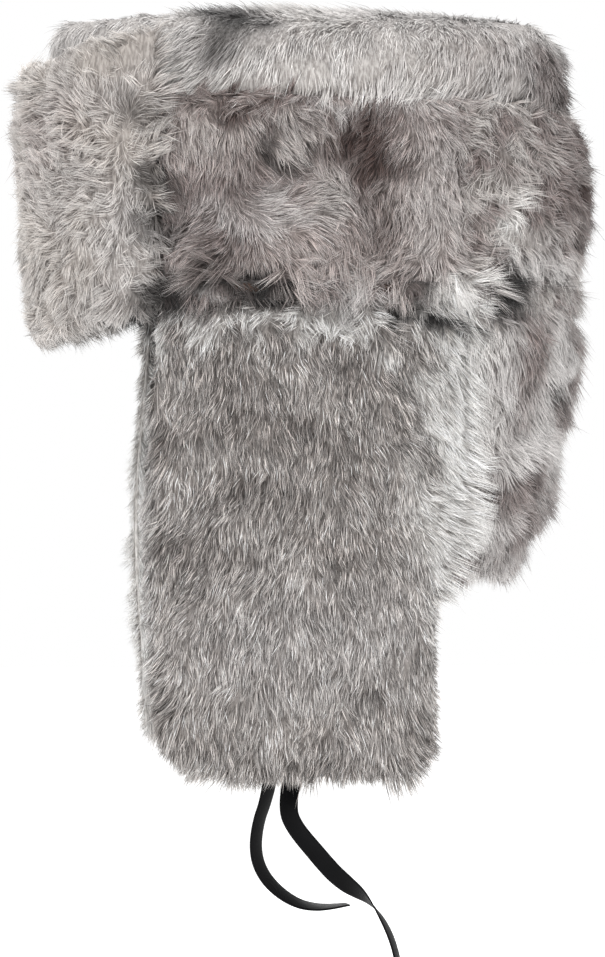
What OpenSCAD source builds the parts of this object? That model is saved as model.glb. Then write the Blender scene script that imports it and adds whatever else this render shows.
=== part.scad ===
// Trapper hat of pieced fur pelts with the fur outwards: a padded and lined crown, two ear
// flaps with ribbon ties, a neck flap, and a front flap that is worn turned up.
// The origin is the middle of the head opening, level with the lower edge of the crown.
// The front faces -Y, the wearer's left is +X, and +Z is up. Sizes are in millimetres.

/* [Head opening] */
// Inside length of the oval, front to back
head_length = 200; // [180:1:220]
// Inside width of the oval, ear to ear
head_width = 160; // [145:1:180]
// Squareness of the oval, where 2 is an ellipse
oval_power = 2.4; // [2:0.1:3]

/* [Crown] */
// Inside height, from the lower edge to the middle of the top
crown_depth = 103; // [90:1:120]
// Height at which the wall starts to turn inwards
wall_height = 76; // [60:1:80]
// Height of the seam between the top pelt and the side pelts
top_seam_height = 84; // [80:1:95]
// Rise of the top from its shoulder to its middle
top_rise = 2; // [0:0.5:10]
// Share of the half length that the shoulder takes at the front and back
shoulder_ends = 0.12; // [0.1:0.01:0.4]
// Share of the half width that the shoulder takes above the ears
shoulder_sides = 0.36; // [0.2:0.01:0.5]
// How far the lower edge dips over the forehead
front_dip = 10; // [0:1:20]
// How far the fur swells out at the back of the head
back_swell = 8; // [0:0.5:12]

/* [Layers] */
// Clear gap between neighbouring layers
layer_gap = 0.3; // [0.2:0.05:0.6]
// Satin lining
lining_t = 1.5; // [1:0.1:3]
// Wadding of the crown
crown_wadding_t = 4.9; // [3:0.1:8]
// Wadding of the ear flaps and the neck flap
flap_wadding_t = 3; // [2:0.1:6]
// Skin and fur of the crown together, to where the fur closes under its tips
crown_fur_t = 14; // [10:0.5:24]
// Bare panel of the crown behind the front flap
front_panel_t = 2.2; // [1.5:0.1:4]
// Share of its height that fur keeps at the edge of a pelt
edge_share = 0.45; // [0.3:0.05:0.8]
// Width over which fur rises from the edge of a pelt to its full height
edge_width = 25; // [15:1:35]
// Thickness of the sweatband
sweatband_t = 1.6; // [1:0.1:3]
// Height of the sweatband
sweatband_height = 34; // [25:1:45]

/* [Ear flaps] */
// Length of a flap below the crown
ear_length = 207; // [160:1:240]
// Front edge at the top, forward of the middle of the hat
ear_front = 66; // [55:1:72]
// How much further forward the front edge swells halfway down
ear_front_swell = 6; // [0:1:8]
// Rear edge in the upper part, behind the middle of the hat
ear_rear = 62; // [50:1:70]
// Rear edge in the lower part, behind the middle of the hat
ear_rear_low = 50; // [40:1:62]
// Width of the rounded front corner at the foot
ear_front_corner = 22; // [15:1:60]
// Width of the rounded rear corner at the foot
ear_rear_corner = 15; // [10:1:45]
// Height of both rounded corners
ear_corner_height = 22; // [15:1:60]

/* [Neck flap] */
// Length of the flap below the crown
neck_length = 120; // [90:1:150]
// How far the foot of the flap leans in towards the nape
neck_lean = 14; // [0:1:25]
// How much further the last part of the flap tucks in
neck_tuck = 9; // [0:1:12]

/* [Front flap] */
// Height of the flap's top edge beside the crown, above the head opening
front_top = 118; // [90:1:125]
// How much lower the top edge is in the middle of the forehead
front_top_dip = 16; // [0:1:20]
// Skin and fur of the front flap together
front_fur_t = 9.5; // [8:0.5:20]
// Lining of the front flap
front_lining_t = 1.2; // [1:0.1:3]
// Canvas stiffener that keeps the flap standing
front_stiffener_t = 1.2; // [0.8:0.1:3]
// How far the top of the flap flares forward
front_flare = 8.5; // [0:0.5:12]
// How far the fur hangs below the fold
front_lobe = 10; // [5:1:14]
// Height over which the front face rounds off above the fold
front_chin = 24; // [10:1:40]
// Height over which the front face rounds off below the top edge
front_brow = 32; // [20:1:45]
// Height over which the fur rolls back in behind the top edge
front_roll = 24; // [10:1:35]

/* [Folds] */
// Radius of the stay cord sewn into each fold
stay_r = 2; // [1.5:0.1:3]
// Depth of the ear and neck folds inside the outer face of the fur
fold_depth = 3; // [2.5:0.1:6]
// Length of the stay cord of an ear flap
ear_stay_length = 70; // [40:1:100]
// Length of the stay cord of the neck flap
neck_stay_length = 46; // [30:1:60]
// Length of the stay cord of the front flap
front_stay_length = 26; // [16:1:30]

/* [Ribbons] */
// Width of the satin ribbon
ribbon_width = 8; // [6:0.5:12]
// Thickness of the ribbon
ribbon_t = 0.6; // [0.4:0.1:1]
// Height of the tack above the foot of the flap
tack_height = 12; // [6:1:25]
// Length of the folded end of the ribbon under the tack
tack_length = 12; // [8:1:20]

/* [Hidden] */
$fn = 48;

// Layers of the crown, counted outwards from the inside of the lining
wadding_in = lining_t + layer_gap;
fur_in = wadding_in + crown_wadding_t + layer_gap;
crown_out = fur_in + crown_fur_t;
panel_out = fur_in + front_panel_t;
// Layers of a flap that hangs, counted the same way so that it ends flush with the crown
flap_fur_in = wadding_in + flap_wadding_t + layer_gap;
// Layers of the front flap, in front of the bare panel
front_in = panel_out + layer_gap;
front_stiff_in = front_in + front_lining_t + layer_gap;
front_fur_in = front_stiff_in + front_stiffener_t + 2 * layer_gap;
front_out = front_fur_in + front_fur_t;

// Where the pelts of the crown and the flaps end, so that each turns in its own slice
slice_gap = 1.5;
side_front = -ear_front;
side_rear = ear_rear;
back_from = side_rear + slice_gap / 2;
neck_from = side_rear + slice_gap;
panel_from = side_front - slice_gap / 2;
front_from = side_front - 2 * slice_gap;

// Heights on the crown run from 0 at the lower edge, 1 at the shoulder, 2 at the rim of
// the top, to 3 at the middle
shoulder_rise = crown_depth + crown_out - top_rise - wall_height;
seam_v = 1 + asin((top_seam_height - wall_height) / shoulder_rise) / 90;
seam_gap_v = 0.005;
top_ring_v = 2.92;

// Grids: denser towards the edges, where the fur turns over
edge_steps = [0, 0.02, 0.06, 0.13, 0.24, 0.38, 0.5, 0.62, 0.76, 0.87, 0.94, 0.98, 1];
long_steps = [0, 0.015, 0.04, 0.08, 0.14, 0.22, 0.31, 0.4, 0.5, 0.6, 0.69, 0.78, 0.86,
              0.92, 0.96, 0.985, 1];
foot_steps = [0, 0.012, 0.035, 0.08, 0.15, 0.24, 0.34, 0.44, 0.54, 0.64, 0.73, 0.8, 0.86,
              0.91, 0.95, 0.98, 1];
arc_steps = [0, 0.015, 0.04, 0.08, 0.125, 0.17, 0.22, 0.265, 0.31, 0.36, 0.405, 0.455, 0.5,
             0.545, 0.595, 0.64, 0.69, 0.735, 0.78, 0.83, 0.875, 0.92, 0.96, 0.985, 1];
plain_steps = [0, 0.12, 0.25, 0.38, 0.5, 0.62, 0.75, 0.88, 1];
row_steps = [0, 0.25, 0.5, 0.75, 1];
foot_plain = [0, 0.2, 0.36, 0.52, 0.68, 0.8, 0.88, 0.94, 0.98, 1];
top_steps = [0, 0.02, 0.06, 0.13, 0.24, 0.34, 0.44, 0.5, 0.62, 0.8, 1];
turn_steps = [for (k = [0:35]) k * 10];

// Rows of the crown's layers, which share their heights so that they lie parallel, and the
// row on which the lining is seamed
wall_heights = [0, 0.35, 0.7, 1];
top_heights = [for (f = top_steps) lerp(seam_v + seam_gap_v, top_ring_v, f)];
lining_row = 3;
band_heights = concat(wall_heights, [for (k = [0:lining_row - 1]) top_heights[k]],
                      [top_heights[lining_row] - seam_gap_v]);
tip_heights = concat([top_heights[lining_row] + seam_gap_v],
                     [for (k = [lining_row + 1:len(top_heights) - 1]) top_heights[k]]);

// Fold axes
ear_fold_x = head_width / 2 + crown_out - fold_depth;
neck_fold_y = head_length / 2 + crown_out - fold_depth;
front_fold_y = -head_length / 2 - front_in + layer_gap / 2;
front_fold_z = -front_dip - stay_r;
fold_z = -layer_gap / 2;

function lerp(a, b, f) = a + (b - a) * f;
function clamp01(x) = max(0, min(1, x));
function smooth(x) = let (c = clamp01(x)) c * c * (3 - 2 * c);
function signed_pow(c, p) = sign(c) * pow(abs(c), p);

// Height share of the fur at a distance from the edge of its pelt
function rise(d) = sqrt(1 - pow(1 - clamp01(d / edge_width), 2));
function fur_share(d) = edge_share + (1 - edge_share) * rise(d);

// The oval of the head opening, grown by t, at an angle counted from the left ear
function oval(u, t) =
    [(head_width / 2 + t) * signed_pow(cos(u), 2 / oval_power),
     (head_length / 2 + t) * signed_pow(sin(u), 2 / oval_power)];
// The angle at which the grown oval passes y on the wearer's left
function angle_at(y, t) = asin(signed_pow(y / (head_length / 2 + t), oval_power / 2));
function from_front(u) = abs((u + 90 + 540) % 360 - 180);
function edge_z(u) = -front_dip * smooth(1 - from_front(u) / 56);

// A point of the crown's surface, grown by t
function crown_at(u, v, t) =
    let (p = oval(u, t),
         turn = shoulder_ends + (shoulder_sides - shoulder_ends) * pow(cos(u), 2),
         top = crown_depth + t,
         a = (clamp01(v - 1)) * 90,
         s = v <= 2 ? 1 - turn * (1 - cos(a)) : (1 - turn) * (3 - v),
         z = v <= 1 ? lerp(edge_z(u), wall_height, v)
           : v <= 2 ? wall_height + (top - top_rise - wall_height) * sin(a)
           : top - top_rise * pow(3 - v, 2))
    [p[0] * s, p[1] * s, z];

// Faces of a slab between an inner and an outer grid of rows by cols points. With rows
// going round, the slab is a hoop, and closed at the top it is a cap.
function grid_faces(rows, cols, round, closed_top) =
    let (n = rows * cols, last = round ? rows - 1 : rows - 2)
    concat(
        [for (i = [0:last], j = [0:cols - 2])
            let (a = n + i * cols + j, b = n + (i + 1) % rows * cols + j)
            each [[a, a + 1, b + 1], [a, b + 1, b]]],
        [for (i = [0:last], j = [0:cols - 2])
            let (a = i * cols + j, b = (i + 1) % rows * cols + j)
            each [[a, b + 1, a + 1], [a, b, b + 1]]],
        [for (i = [0:last])
            let (a = i * cols, b = (i + 1) % rows * cols)
            each [[a, n + b, b], [a, n + a, n + b]]],
        closed_top
            ? [[for (i = [rows - 1:-1:0]) n + i * cols + cols - 1],
               [for (i = [0:rows - 1]) i * cols + cols - 1]]
            : [for (i = [0:last])
                let (a = i * cols + cols - 1, b = (i + 1) % rows * cols + cols - 1)
                each [[a, b, n + b], [a, n + b, n + a]]],
        round ? [] :
            [for (j = [0:cols - 2])
                let (c = (rows - 1) * cols + j)
                each [[j, n + j + 1, n + j], [j, j + 1, n + j + 1],
                      [c, n + c, n + c + 1], [c, n + c + 1, c + 1]]]);

module slab(inn, out, round = false, closed_top = false) {
    polyhedron(
        points = concat([for (r = inn) each r], [for (r = out) each r]),
        faces = grid_faces(len(inn), len(inn[0]), round, closed_top));
}

// A pelt of the crown's wall, from y_from to y_to on the wearer's left, or from y_from round
// the back to the same place on the right
module wall_pelt(y_from, y_to, round_back = false) {
    top_v = seam_v - seam_gap_v;
    run = round_back ? head_width + 2 * crown_out : y_to - y_from;
    steps = round_back ? arc_steps : long_steps;
    slab(
        [for (f = steps) [for (h = edge_steps)
            wall_at(y_from, y_to, round_back, f, h * top_v, fur_in)]],
        [for (f = steps) [for (h = edge_steps)
            let (edge = min(min(f, 1 - f) * run, min(h, 1 - h) * top_seam_height),
                 swell = round_back ? back_swell * sin(180 * f) * sin(180 * h) : 0)
            wall_at(y_from, y_to, round_back, f, h * top_v,
                    fur_in + crown_fur_t * fur_share(edge) + swell)]]);
}

function wall_at(y_from, y_to, round_back, f, v, t) =
    let (from = angle_at(y_from, t),
         to = round_back ? 180 - from : angle_at(y_to, t))
    crown_at(lerp(from, to, f), v, t);

module crown_left_fur() color("#8f8683") wall_pelt(side_front, side_rear);
module crown_right_fur() mirror([1, 0, 0]) crown_left_fur();
module crown_back_fur() color("#857673") wall_pelt(back_from, back_from, round_back = true);

function panel_at(f, v, t) =
    let (from = angle_at(panel_from, t)) crown_at(lerp(-180 - from, from, f), v, t);

module crown_front_panel() color("#4a4340") {
    top_v = seam_v - seam_gap_v;
    slab([for (f = arc_steps) [for (h = row_steps) panel_at(f, h * top_v, fur_in)]],
         [for (f = arc_steps) [for (h = row_steps) panel_at(f, h * top_v, panel_out)]]);
}

// The top pelt lies low where the front flap stands before it
module crown_top_fur() color("#b5b0ac") {
    low = panel_out - fur_in;
    slab(
        [for (u = turn_steps) [for (v = top_heights) crown_at(u, v, fur_in)]],
        [for (u = turn_steps) [for (v = top_heights)
            let (behind = smooth((from_front(u) - 66) / 20),
                 over = smooth((v - seam_v) / (1.8 - seam_v)),
                 full = crown_fur_t * fur_share((v - seam_v) * shoulder_rise))
            crown_at(u, v, fur_in + lerp(lerp(low, full, over), full, behind))]],
        round = true, closed_top = true);
}

module crown_wadding() color("#d9d6cf") {
    heights = concat(wall_heights, top_heights);
    slab(
        [for (u = turn_steps) [for (v = heights) crown_at(u, v, wadding_in)]],
        [for (u = turn_steps) [for (v = heights) crown_at(u, v, fur_in - layer_gap)]],
        round = true, closed_top = true);
}

module crown_lining_tip() color("#23211f") {
    slab(
        [for (u = turn_steps) [for (v = tip_heights) crown_at(u, v, 0)]],
        [for (u = turn_steps) [for (v = tip_heights) crown_at(u, v, lining_t)]],
        round = true, closed_top = true);
}

module crown_lining_band() color("#282523") {
    slab(
        [for (u = turn_steps) [for (v = band_heights) crown_at(u, v, 0)]],
        [for (u = turn_steps) [for (v = band_heights) crown_at(u, v, lining_t)]],
        round = true);
}

module sweatband() color("#3a2e28") {
    heights = [0, 0.5, 1] * sweatband_height / wall_height;
    slab(
        [for (u = turn_steps) [for (v = heights) crown_at(u, v, -layer_gap - sweatband_t)]],
        [for (u = turn_steps) [for (v = heights) crown_at(u, v, -layer_gap)]],
        round = true);
}

// A point of the left ear flap: p runs from front to rear, q from the fold to the foot, and
// t is counted from the inside of its lining
function ear_corner(q) =
    let (c = clamp01((q - 1) * ear_length / ear_corner_height + 1)) 1 - sqrt(1 - c * c);
function ear_front_y(q) =
    side_front - ear_front_swell * pow(sin(180 * q), 2) + ear_front_corner * ear_corner(q);
function ear_rear_y(q) =
    lerp(side_rear, ear_rear_low, smooth((q - 0.36) / 0.32))
    - ear_rear_corner * ear_corner(q);
function ear_x(y, q, t) =
    let (bow = head_width / 2 * (1 - pow(1 - pow(abs(y) / (head_length / 2), oval_power),
                                          1 / oval_power)))
    head_width / 2 + t - bow * lerp(1, 0.4, smooth(q));
function ear_at(p, q, t) =
    let (y = lerp(ear_front_y(q), ear_rear_y(q), p))
    [ear_x(y, q, t), y, -layer_gap - q * ear_length];

module ear_layer(from, to, inset) {
    steps = [for (f = plain_steps) lerp(inset, 1 - inset, f)];
    rows = [for (q = foot_plain) q * (1 - inset)];
    slab([for (q = rows) [for (p = steps) ear_at(p, q, from)]],
         [for (q = rows) [for (p = steps) ear_at(p, q, to)]]);
}

module left_ear_lining() color("#282523") ear_layer(0, lining_t, 0.015);

module left_ear_wadding() color("#d9d6cf")
    ear_layer(wadding_in, wadding_in + flap_wadding_t, 0.03);

module left_ear_fur() color("#9c978f") {
    full = crown_out - flap_fur_in;
    width = side_rear - side_front;
    slab(
        [for (q = foot_steps) [for (p = edge_steps) ear_at(p, q, flap_fur_in)]],
        [for (q = foot_steps) [for (p = edge_steps)
            let (along = min(p, 1 - p) * width,
                 down = min(q, 1 - q) * ear_length)
            ear_at(p, q, flap_fur_in + full * fur_share(min(along, down)))]]);
}

module right_ear_lining() mirror([1, 0, 0]) left_ear_lining();
module right_ear_wadding() mirror([1, 0, 0]) left_ear_wadding();
module right_ear_fur() mirror([1, 0, 0]) left_ear_fur();

// The tack holds the end of the ribbon on the lining, above the foot of the flap
tack_q = 1 - tack_height / ear_length;
tack_y = -8;
tack_in = layer_gap + 2 * ribbon_t;
tack_z = -layer_gap - tack_q * ear_length;
tack_x = ear_x(tack_y, tack_q, -tack_in);
ribbon_x = tack_x - layer_gap - ribbon_t / 2;

module left_ribbon_tack() color("#1d1d20")
    translate([tack_x, tack_y - ribbon_width / 2, tack_z])
        cube([2 * ribbon_t, ribbon_width, tack_length]);

module right_ribbon_tack() mirror([1, 0, 0]) left_ribbon_tack();

// A flat ribbon along its route from the tack. Each step gives x outwards, y rearwards and
// z upwards from the start, and the angle at which its width faces the back.
function ribbon_ring(route, k) =
    let (d = route[min(k + 1, len(route) - 1)] - route[max(k - 1, 0)],
         ahead = [d[0], d[1], d[2]] / norm([d[0], d[1], d[2]]),
         side = cross(ahead, [1, 0, 0]),
         across = side / norm(side),
         up = cross(ahead, across),
         turn = route[k][3],
         wide = across * cos(turn) + up * sin(turn),
         thick = up * cos(turn) - across * sin(turn),
         p = [ribbon_x, tack_y, tack_z] + [route[k][0], route[k][1], route[k][2]])
    [for (c = [[-1, -1], [1, -1], [1, 1], [-1, 1]])
        p + wide * c[0] * ribbon_width / 2 + thick * c[1] * ribbon_t / 2];

module ribbon(route) {
    last = len(route) - 1;
    polyhedron(
        points = [for (k = [0:last]) each ribbon_ring(route, k)],
        faces = concat(
            [[3, 2, 1, 0], [for (c = [0:3]) last * 4 + c]],
            [for (k = [0:last - 1], c = [0:3])
                let (a = k * 4 + c, b = k * 4 + (c + 1) % 4)
                each [[a, b, b + 4], [a, b + 4, a + 4]]]));
}

left_route = [
    [0, 0, 6, 0], [0, 0, 0, 0], [0.5, 0, -6, 2], [1.5, -0.5, -12, 6], [3, -2, -18, 10],
    [4.5, -3, -24, 16], [6, -2.8, -30, 20], [7.2, -0.6, -35, 22], [8, 3, -40, 20],
    [8.6, 7.2, -45, 16], [9, 11.4, -50, 12], [9.2, 16, -55, 14], [9.2, 21.2, -59.5, 26],
    [9, 26.6, -63.5, 50], [8.6, 31.6, -68, 80], [8.2, 36, -73.5, 100],
    [8, 39.6, -80, 108], [8, 42.2, -87, 110], [8, 43.8, -94, 112], [8, 44.6, -101, 114],
    [8, 44.8, -107, 116]];
right_route = [
    [0, 0, 6, 0], [0, 0, 0, 0], [0.6, 0, -7, 8], [2, 0, -15, 18], [3.6, 0, -23, 28],
    [5, -0.6, -31, 36], [6, -2.4, -39, 42], [6.8, -4.6, -46, 44], [7.2, -6, -53, 44],
    [7.4, -6.4, -60, 44], [7.4, -5.2, -67, 44], [7.2, -2, -73.5, 46], [7, 2.8, -79, 50],
    [6.6, 8.6, -83.4, 56], [6.2, 15, -86.4, 64], [5.8, 22, -87.6, 72], [5.4, 29, -87.4, 80],
    [5, 35.6, -86.4, 86]];

module left_ribbon() color("#1d1d20") ribbon(left_route);
module right_ribbon() color("#1d1d20") mirror([1, 0, 0]) ribbon(right_route);

// The neck flap goes round the nape, with its foot leaning in. w runs from the foot up.
function neck_at(f, w, t) =
    let (q = 1 - w,
         grown = t - neck_lean * q - neck_tuck * smooth((q - 0.6) / 0.4),
         from = angle_at(neck_from, grown),
         p = oval(lerp(from, 180 - from, f), grown))
    [p[0], p[1], -layer_gap - q * neck_length];

module neck_layer(from, to, inset) {
    steps = [for (f = arc_steps) lerp(inset, 1 - inset, f)];
    rows = [for (w = edge_steps) if (w >= inset) w];
    slab([for (f = steps) [for (w = rows) neck_at(f, w, from)]],
         [for (f = steps) [for (w = rows) neck_at(f, w, to)]]);
}

module neck_lining() color("#282523") neck_layer(0, lining_t, 0.02);

module neck_wadding() color("#d9d6cf")
    neck_layer(wadding_in, wadding_in + flap_wadding_t, 0.04);

module neck_fur() color("#948a86") {
    full = crown_out - flap_fur_in;
    run = head_width + 2 * crown_out;
    slab(
        [for (f = arc_steps) [for (w = edge_steps) neck_at(f, w, flap_fur_in)]],
        [for (f = arc_steps) [for (w = edge_steps)
            let (edge = min(min(f, 1 - f) * run, min(w, 1 - w) * neck_length),
                 swell = -back_swell * sin(180 * f) * sin(360 * max(0.5, w)))
            neck_at(f, w, flap_fur_in + full * fur_share(edge) + swell)]]);
}

// The front flap stands before the bare panel and flares forward. The height z is counted
// from the head opening.
function front_angle(f, t) =
    let (from = angle_at(front_from, t)) lerp(-180 - from, from, f);
function front_at(f, z, t) =
    let (grown = t + front_flare * clamp01(z / front_top),
         p = oval(front_angle(f, grown), grown))
    [p[0], p[1], z];
function front_foot(f, t) = edge_z(front_angle(f, t));
function front_head(f, t) =
    front_top - front_top_dip * smooth(1 - from_front(front_angle(f, t)) / 80);

module front_layer(from, to) {
    top = front_top - front_top_dip - front_roll / 2;
    slab(
        [for (f = arc_steps) [for (w = row_steps)
            front_at(f, lerp(front_foot(f, from), top, w), from)]],
        [for (f = arc_steps) [for (w = row_steps)
            front_at(f, lerp(front_foot(f, to), top, w), to)]]);
}

module front_lining() color("#282523") front_layer(front_in, front_in + front_lining_t);

module front_stiffener() color("#b9b0a0")
    front_layer(front_stiff_in, front_stiff_in + front_stiffener_t);

// Round the fur, at an angle counted from its foremost line over the top: the height from the
// foot or the top edge, more gently rounded in front than behind
function front_fur_z(a, foot, head) =
    a > 270 ? foot - front_lobe + front_chin * (1 + sin(a))
    : a > 180 ? foot + front_lobe * sin(a)
    : a < 90 ? head - front_brow * (1 - sin(a))
    : head - front_roll * (1 - sin(a));

module front_fur() color("#a39b95") {
    lower = [192, 214, 240, 268, 296, 322, 346];
    upper = [8, 28, 50, 74, 98, 122, 146, 168];
    around = concat(lower, upper);
    last = len(around) - 1;
    run = head_width + 2 * front_out;
    slab(
        [for (f = arc_steps)
            let (foot = front_foot(f, front_fur_in), head = front_head(f, front_fur_in))
            [for (k = [0:last])
                front_at(f, lerp(foot + 1, head - front_roll - 1, k / last), front_fur_in)]],
        [for (f = arc_steps)
            let (thick = front_fur_t * fur_share(min(f, 1 - f) * run),
                 foot = front_foot(f, front_fur_in),
                 head = front_head(f, front_fur_in))
            [for (a = around)
                front_at(f, front_fur_z(a, foot, head),
                         front_fur_in + thick * (1 + cos(a)) / 2)]]);
}

// Stay cords along the four folds
module left_fold_stay() color("#3a2e28")
    translate([ear_fold_x, ear_stay_length / 2, fold_z])
        rotate([90, 0, 0]) cylinder(r = stay_r, h = ear_stay_length);

module right_fold_stay() mirror([1, 0, 0]) left_fold_stay();

module neck_fold_stay() color("#3a2e28")
    translate([-neck_stay_length / 2, neck_fold_y, fold_z])
        rotate([0, 90, 0]) cylinder(r = stay_r, h = neck_stay_length);

module front_fold_stay() color("#3a2e28")
    translate([-front_stay_length / 2, front_fold_y, front_fold_z])
        rotate([0, 90, 0]) cylinder(r = stay_r - layer_gap, h = front_stay_length);

crown_top_fur();
crown_left_fur();
crown_right_fur();
crown_back_fur();
crown_front_panel();
crown_wadding();
crown_lining_tip();
crown_lining_band();
sweatband();
left_fold_stay();
right_fold_stay();
neck_fold_stay();
front_fold_stay();
left_ear_fur();
left_ear_wadding();
left_ear_lining();
left_ribbon_tack();
left_ribbon();
right_ear_fur();
right_ear_wadding();
right_ear_lining();
right_ribbon_tack();
right_ribbon();
neck_fur();
neck_wadding();
neck_lining();
front_fur();
front_stiffener();
front_lining();
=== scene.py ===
import math

import bpy
import numpy as np
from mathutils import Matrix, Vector


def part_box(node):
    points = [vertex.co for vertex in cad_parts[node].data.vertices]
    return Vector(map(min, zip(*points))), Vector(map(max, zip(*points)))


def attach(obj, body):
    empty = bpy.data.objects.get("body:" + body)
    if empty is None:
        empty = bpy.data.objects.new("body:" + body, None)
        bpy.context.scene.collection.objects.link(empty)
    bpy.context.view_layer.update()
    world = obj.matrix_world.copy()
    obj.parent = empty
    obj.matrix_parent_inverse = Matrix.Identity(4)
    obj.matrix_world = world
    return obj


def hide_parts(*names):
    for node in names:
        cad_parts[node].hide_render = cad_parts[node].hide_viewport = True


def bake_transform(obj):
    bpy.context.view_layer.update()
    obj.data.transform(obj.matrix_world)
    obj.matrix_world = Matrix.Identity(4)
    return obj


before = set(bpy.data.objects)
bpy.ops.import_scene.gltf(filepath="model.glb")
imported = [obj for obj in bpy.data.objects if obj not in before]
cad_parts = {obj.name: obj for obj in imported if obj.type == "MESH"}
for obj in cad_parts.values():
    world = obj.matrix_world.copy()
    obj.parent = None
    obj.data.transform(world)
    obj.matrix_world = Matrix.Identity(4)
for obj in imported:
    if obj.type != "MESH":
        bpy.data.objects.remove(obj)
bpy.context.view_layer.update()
scene = bpy.context.scene
scene.view_settings.view_transform = "Standard"
mm = 0.001
print("frame loaded:", len(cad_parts), "pieces")


# small helpers on numbers and arrays; lengths below are in millimetres until a mesh is made
def lerp(a, b, f):
    return a + (b - a) * f


def smooth(x):
    c = np.clip(x, 0, 1)
    return c * c * (3 - 2 * c)


def fromEnds(s):
    return np.minimum(s, 1 - s)


def norm(v):
    return np.linalg.norm(v, axis=-1)


def steps(path):
    return norm(np.diff(path, axis=0))


def unit(v):
    return v / np.maximum(norm(v)[..., None], 1e-9)


def dot(v, w):
    return (v * w).sum(axis=-1, keepdims=True)


def xyz(*parts):
    return np.stack(np.broadcast_arrays(*parts), axis=-1)


def ink(code):
    part = np.array([int(code[k:k + 2], 16) for k in (1, 3, 5)]) / 255
    return np.where(part <= 0.04045, part / 12.92, ((part + 0.055) / 1.055) ** 2.4)


def field(points, waveLength, seed, waves=24):
    # smooth random values with unit spread, from a few plane waves
    rng = np.random.default_rng(seed)
    heading = unit(rng.normal(size=(waves, 3)))
    heading *= 2 * np.pi / waveLength * rng.uniform(0.6, 1.4, (waves, 1))
    phase = rng.uniform(0, 2 * np.pi, waves)
    return np.cos(points @ heading.T + phase).sum(axis=-1) * math.sqrt(2 / waves)


def addObject(name, data):
    made = bpy.data.objects.new(name, data)
    scene.collection.objects.link(made)
    return made


def aimAt(made, place, target):
    made.location = place
    made.rotation_mode = "QUATERNION"
    made.rotation_quaternion = (Vector(target) - Vector(place)).to_track_quat("-Z", "Y")


# the photograph's view, from the wearer's left
viewpoint = {"target": (0.0, 0.001, -0.0813), "azimuth": 85.7, "distance": 1.8,
             "pixel": 0.45 * mm, "rows": 957, "sensor": 36, "clip": (0.05, 50)}


def makeCamera():
    data = bpy.data.cameras.new("camera")
    data.sensor_width = viewpoint["sensor"]
    data.lens = viewpoint["sensor"] * viewpoint["distance"] / (viewpoint["rows"] * viewpoint["pixel"])
    data.clip_start, data.clip_end = viewpoint["clip"]
    turn = math.radians(viewpoint["azimuth"])
    back = Vector((math.sin(turn), -math.cos(turn), 0))
    scene.camera = addObject("camera", data)
    aimAt(scene.camera, Vector(viewpoint["target"]) + back * viewpoint["distance"], viewpoint["target"])


makeCamera()


# materials: a wire is a node's output that can be used in sums
class Wire:
    def __init__(self, shade, socket):
        self.shade = shade
        self.socket = socket

    def other(self, output):
        return Wire(self.shade, self.socket.node.outputs[output])

    def math(self, operation, first, second):
        return self.shade.node("ShaderNodeMath", {"operation": operation}, {0: first, 1: second})

    def __add__(self, other):
        return self.math("ADD", self, other)

    def __radd__(self, other):
        return self.math("ADD", other, self)

    def __mul__(self, other):
        return self.math("MULTIPLY", self, other)

    def __rmul__(self, other):
        return self.math("MULTIPLY", other, self)


class Shade:
    def __init__(self, owner, surface="ShaderNodeBsdfPrincipled", output="ShaderNodeOutputMaterial",
                 **sockets):
        owner.use_nodes = True
        self.owner = owner
        self.tree = owner.node_tree
        self.tree.nodes.clear()
        self.surface = self.node(surface)
        self.node(output, None, {"Surface": self.surface})
        self.finish(**sockets)

    def feed(self, target, sockets):
        for key, value in sockets.items():
            if isinstance(value, Wire):
                self.tree.links.new(value.socket, target.inputs[key])
            else:
                target.inputs[key].default_value = value

    def node(self, kind, settings=None, sockets=None, out=0):
        made = self.tree.nodes.new(kind)
        for key, value in (settings or {}).items():
            setattr(made, key, value)
        self.feed(made, sockets or {})
        return Wire(self, made.outputs[out]) if made.outputs else None

    def mix(self, factor, first, second, blend="MIX"):
        return self.node("ShaderNodeMix", {"data_type": "RGBA", "blend_type": blend},
                         {0: factor, 6: first, 7: second}, 2)

    def tint(self, colour, tint):
        return self.mix(1.0, colour, tint, "MULTIPLY")

    def place(self):
        return self.node("ShaderNodeTexCoord", out="Object")

    def noise(self, scale, detail, stretch=(1.0, 1.0, 1.0)):
        place = self.node("ShaderNodeVectorMath", {"operation": "MULTIPLY"}, {0: self.place(), 1: stretch})
        return self.node("ShaderNodeTexNoise", None, {"Vector": place, "Scale": scale, "Detail": detail})

    def wave(self, scale, distortion):
        return self.node("ShaderNodeTexWave", {"bands_direction": "DIAGONAL"},
                         {"Vector": self.place(), "Scale": scale, "Distortion": distortion}, "Fac")

    def attribute(self, name, out):
        return self.node("ShaderNodeAttribute", {"attribute_name": name}, out=out)

    def step(self, value, low, high):
        return self.node("ShaderNodeMapRange", {"interpolation_type": "SMOOTHSTEP"},
                         {"Value": value, "From Min": low, "From Max": high})

    def bump(self, height, strength, distance):
        return self.node("ShaderNodeBump", None,
                         {"Height": height, "Strength": strength, "Distance": distance})

    def finish(self, **sockets):
        named = {key.replace("_", " "): value for key, value in sockets.items()}
        self.feed(self.surface.socket.node, named)
        return self.owner


def rgba(colour):
    return (*[float(min(c, 1)) for c in colour], 1.0)


def newShade(name, **sockets):
    return Shade(bpy.data.materials.new(name), **sockets)


hairLook = {"root": (0.55, 0.525, 0.51, 1), "rootTo": 0.6, "tip": (0.87, 0.855, 0.835, 1), "tipFrom": 0.5,
            "tipTo": 0.95, "downDark": (0.36, 0.345, 0.335, 1), "downLight": (0.76, 0.75, 0.74, 1)}


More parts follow.
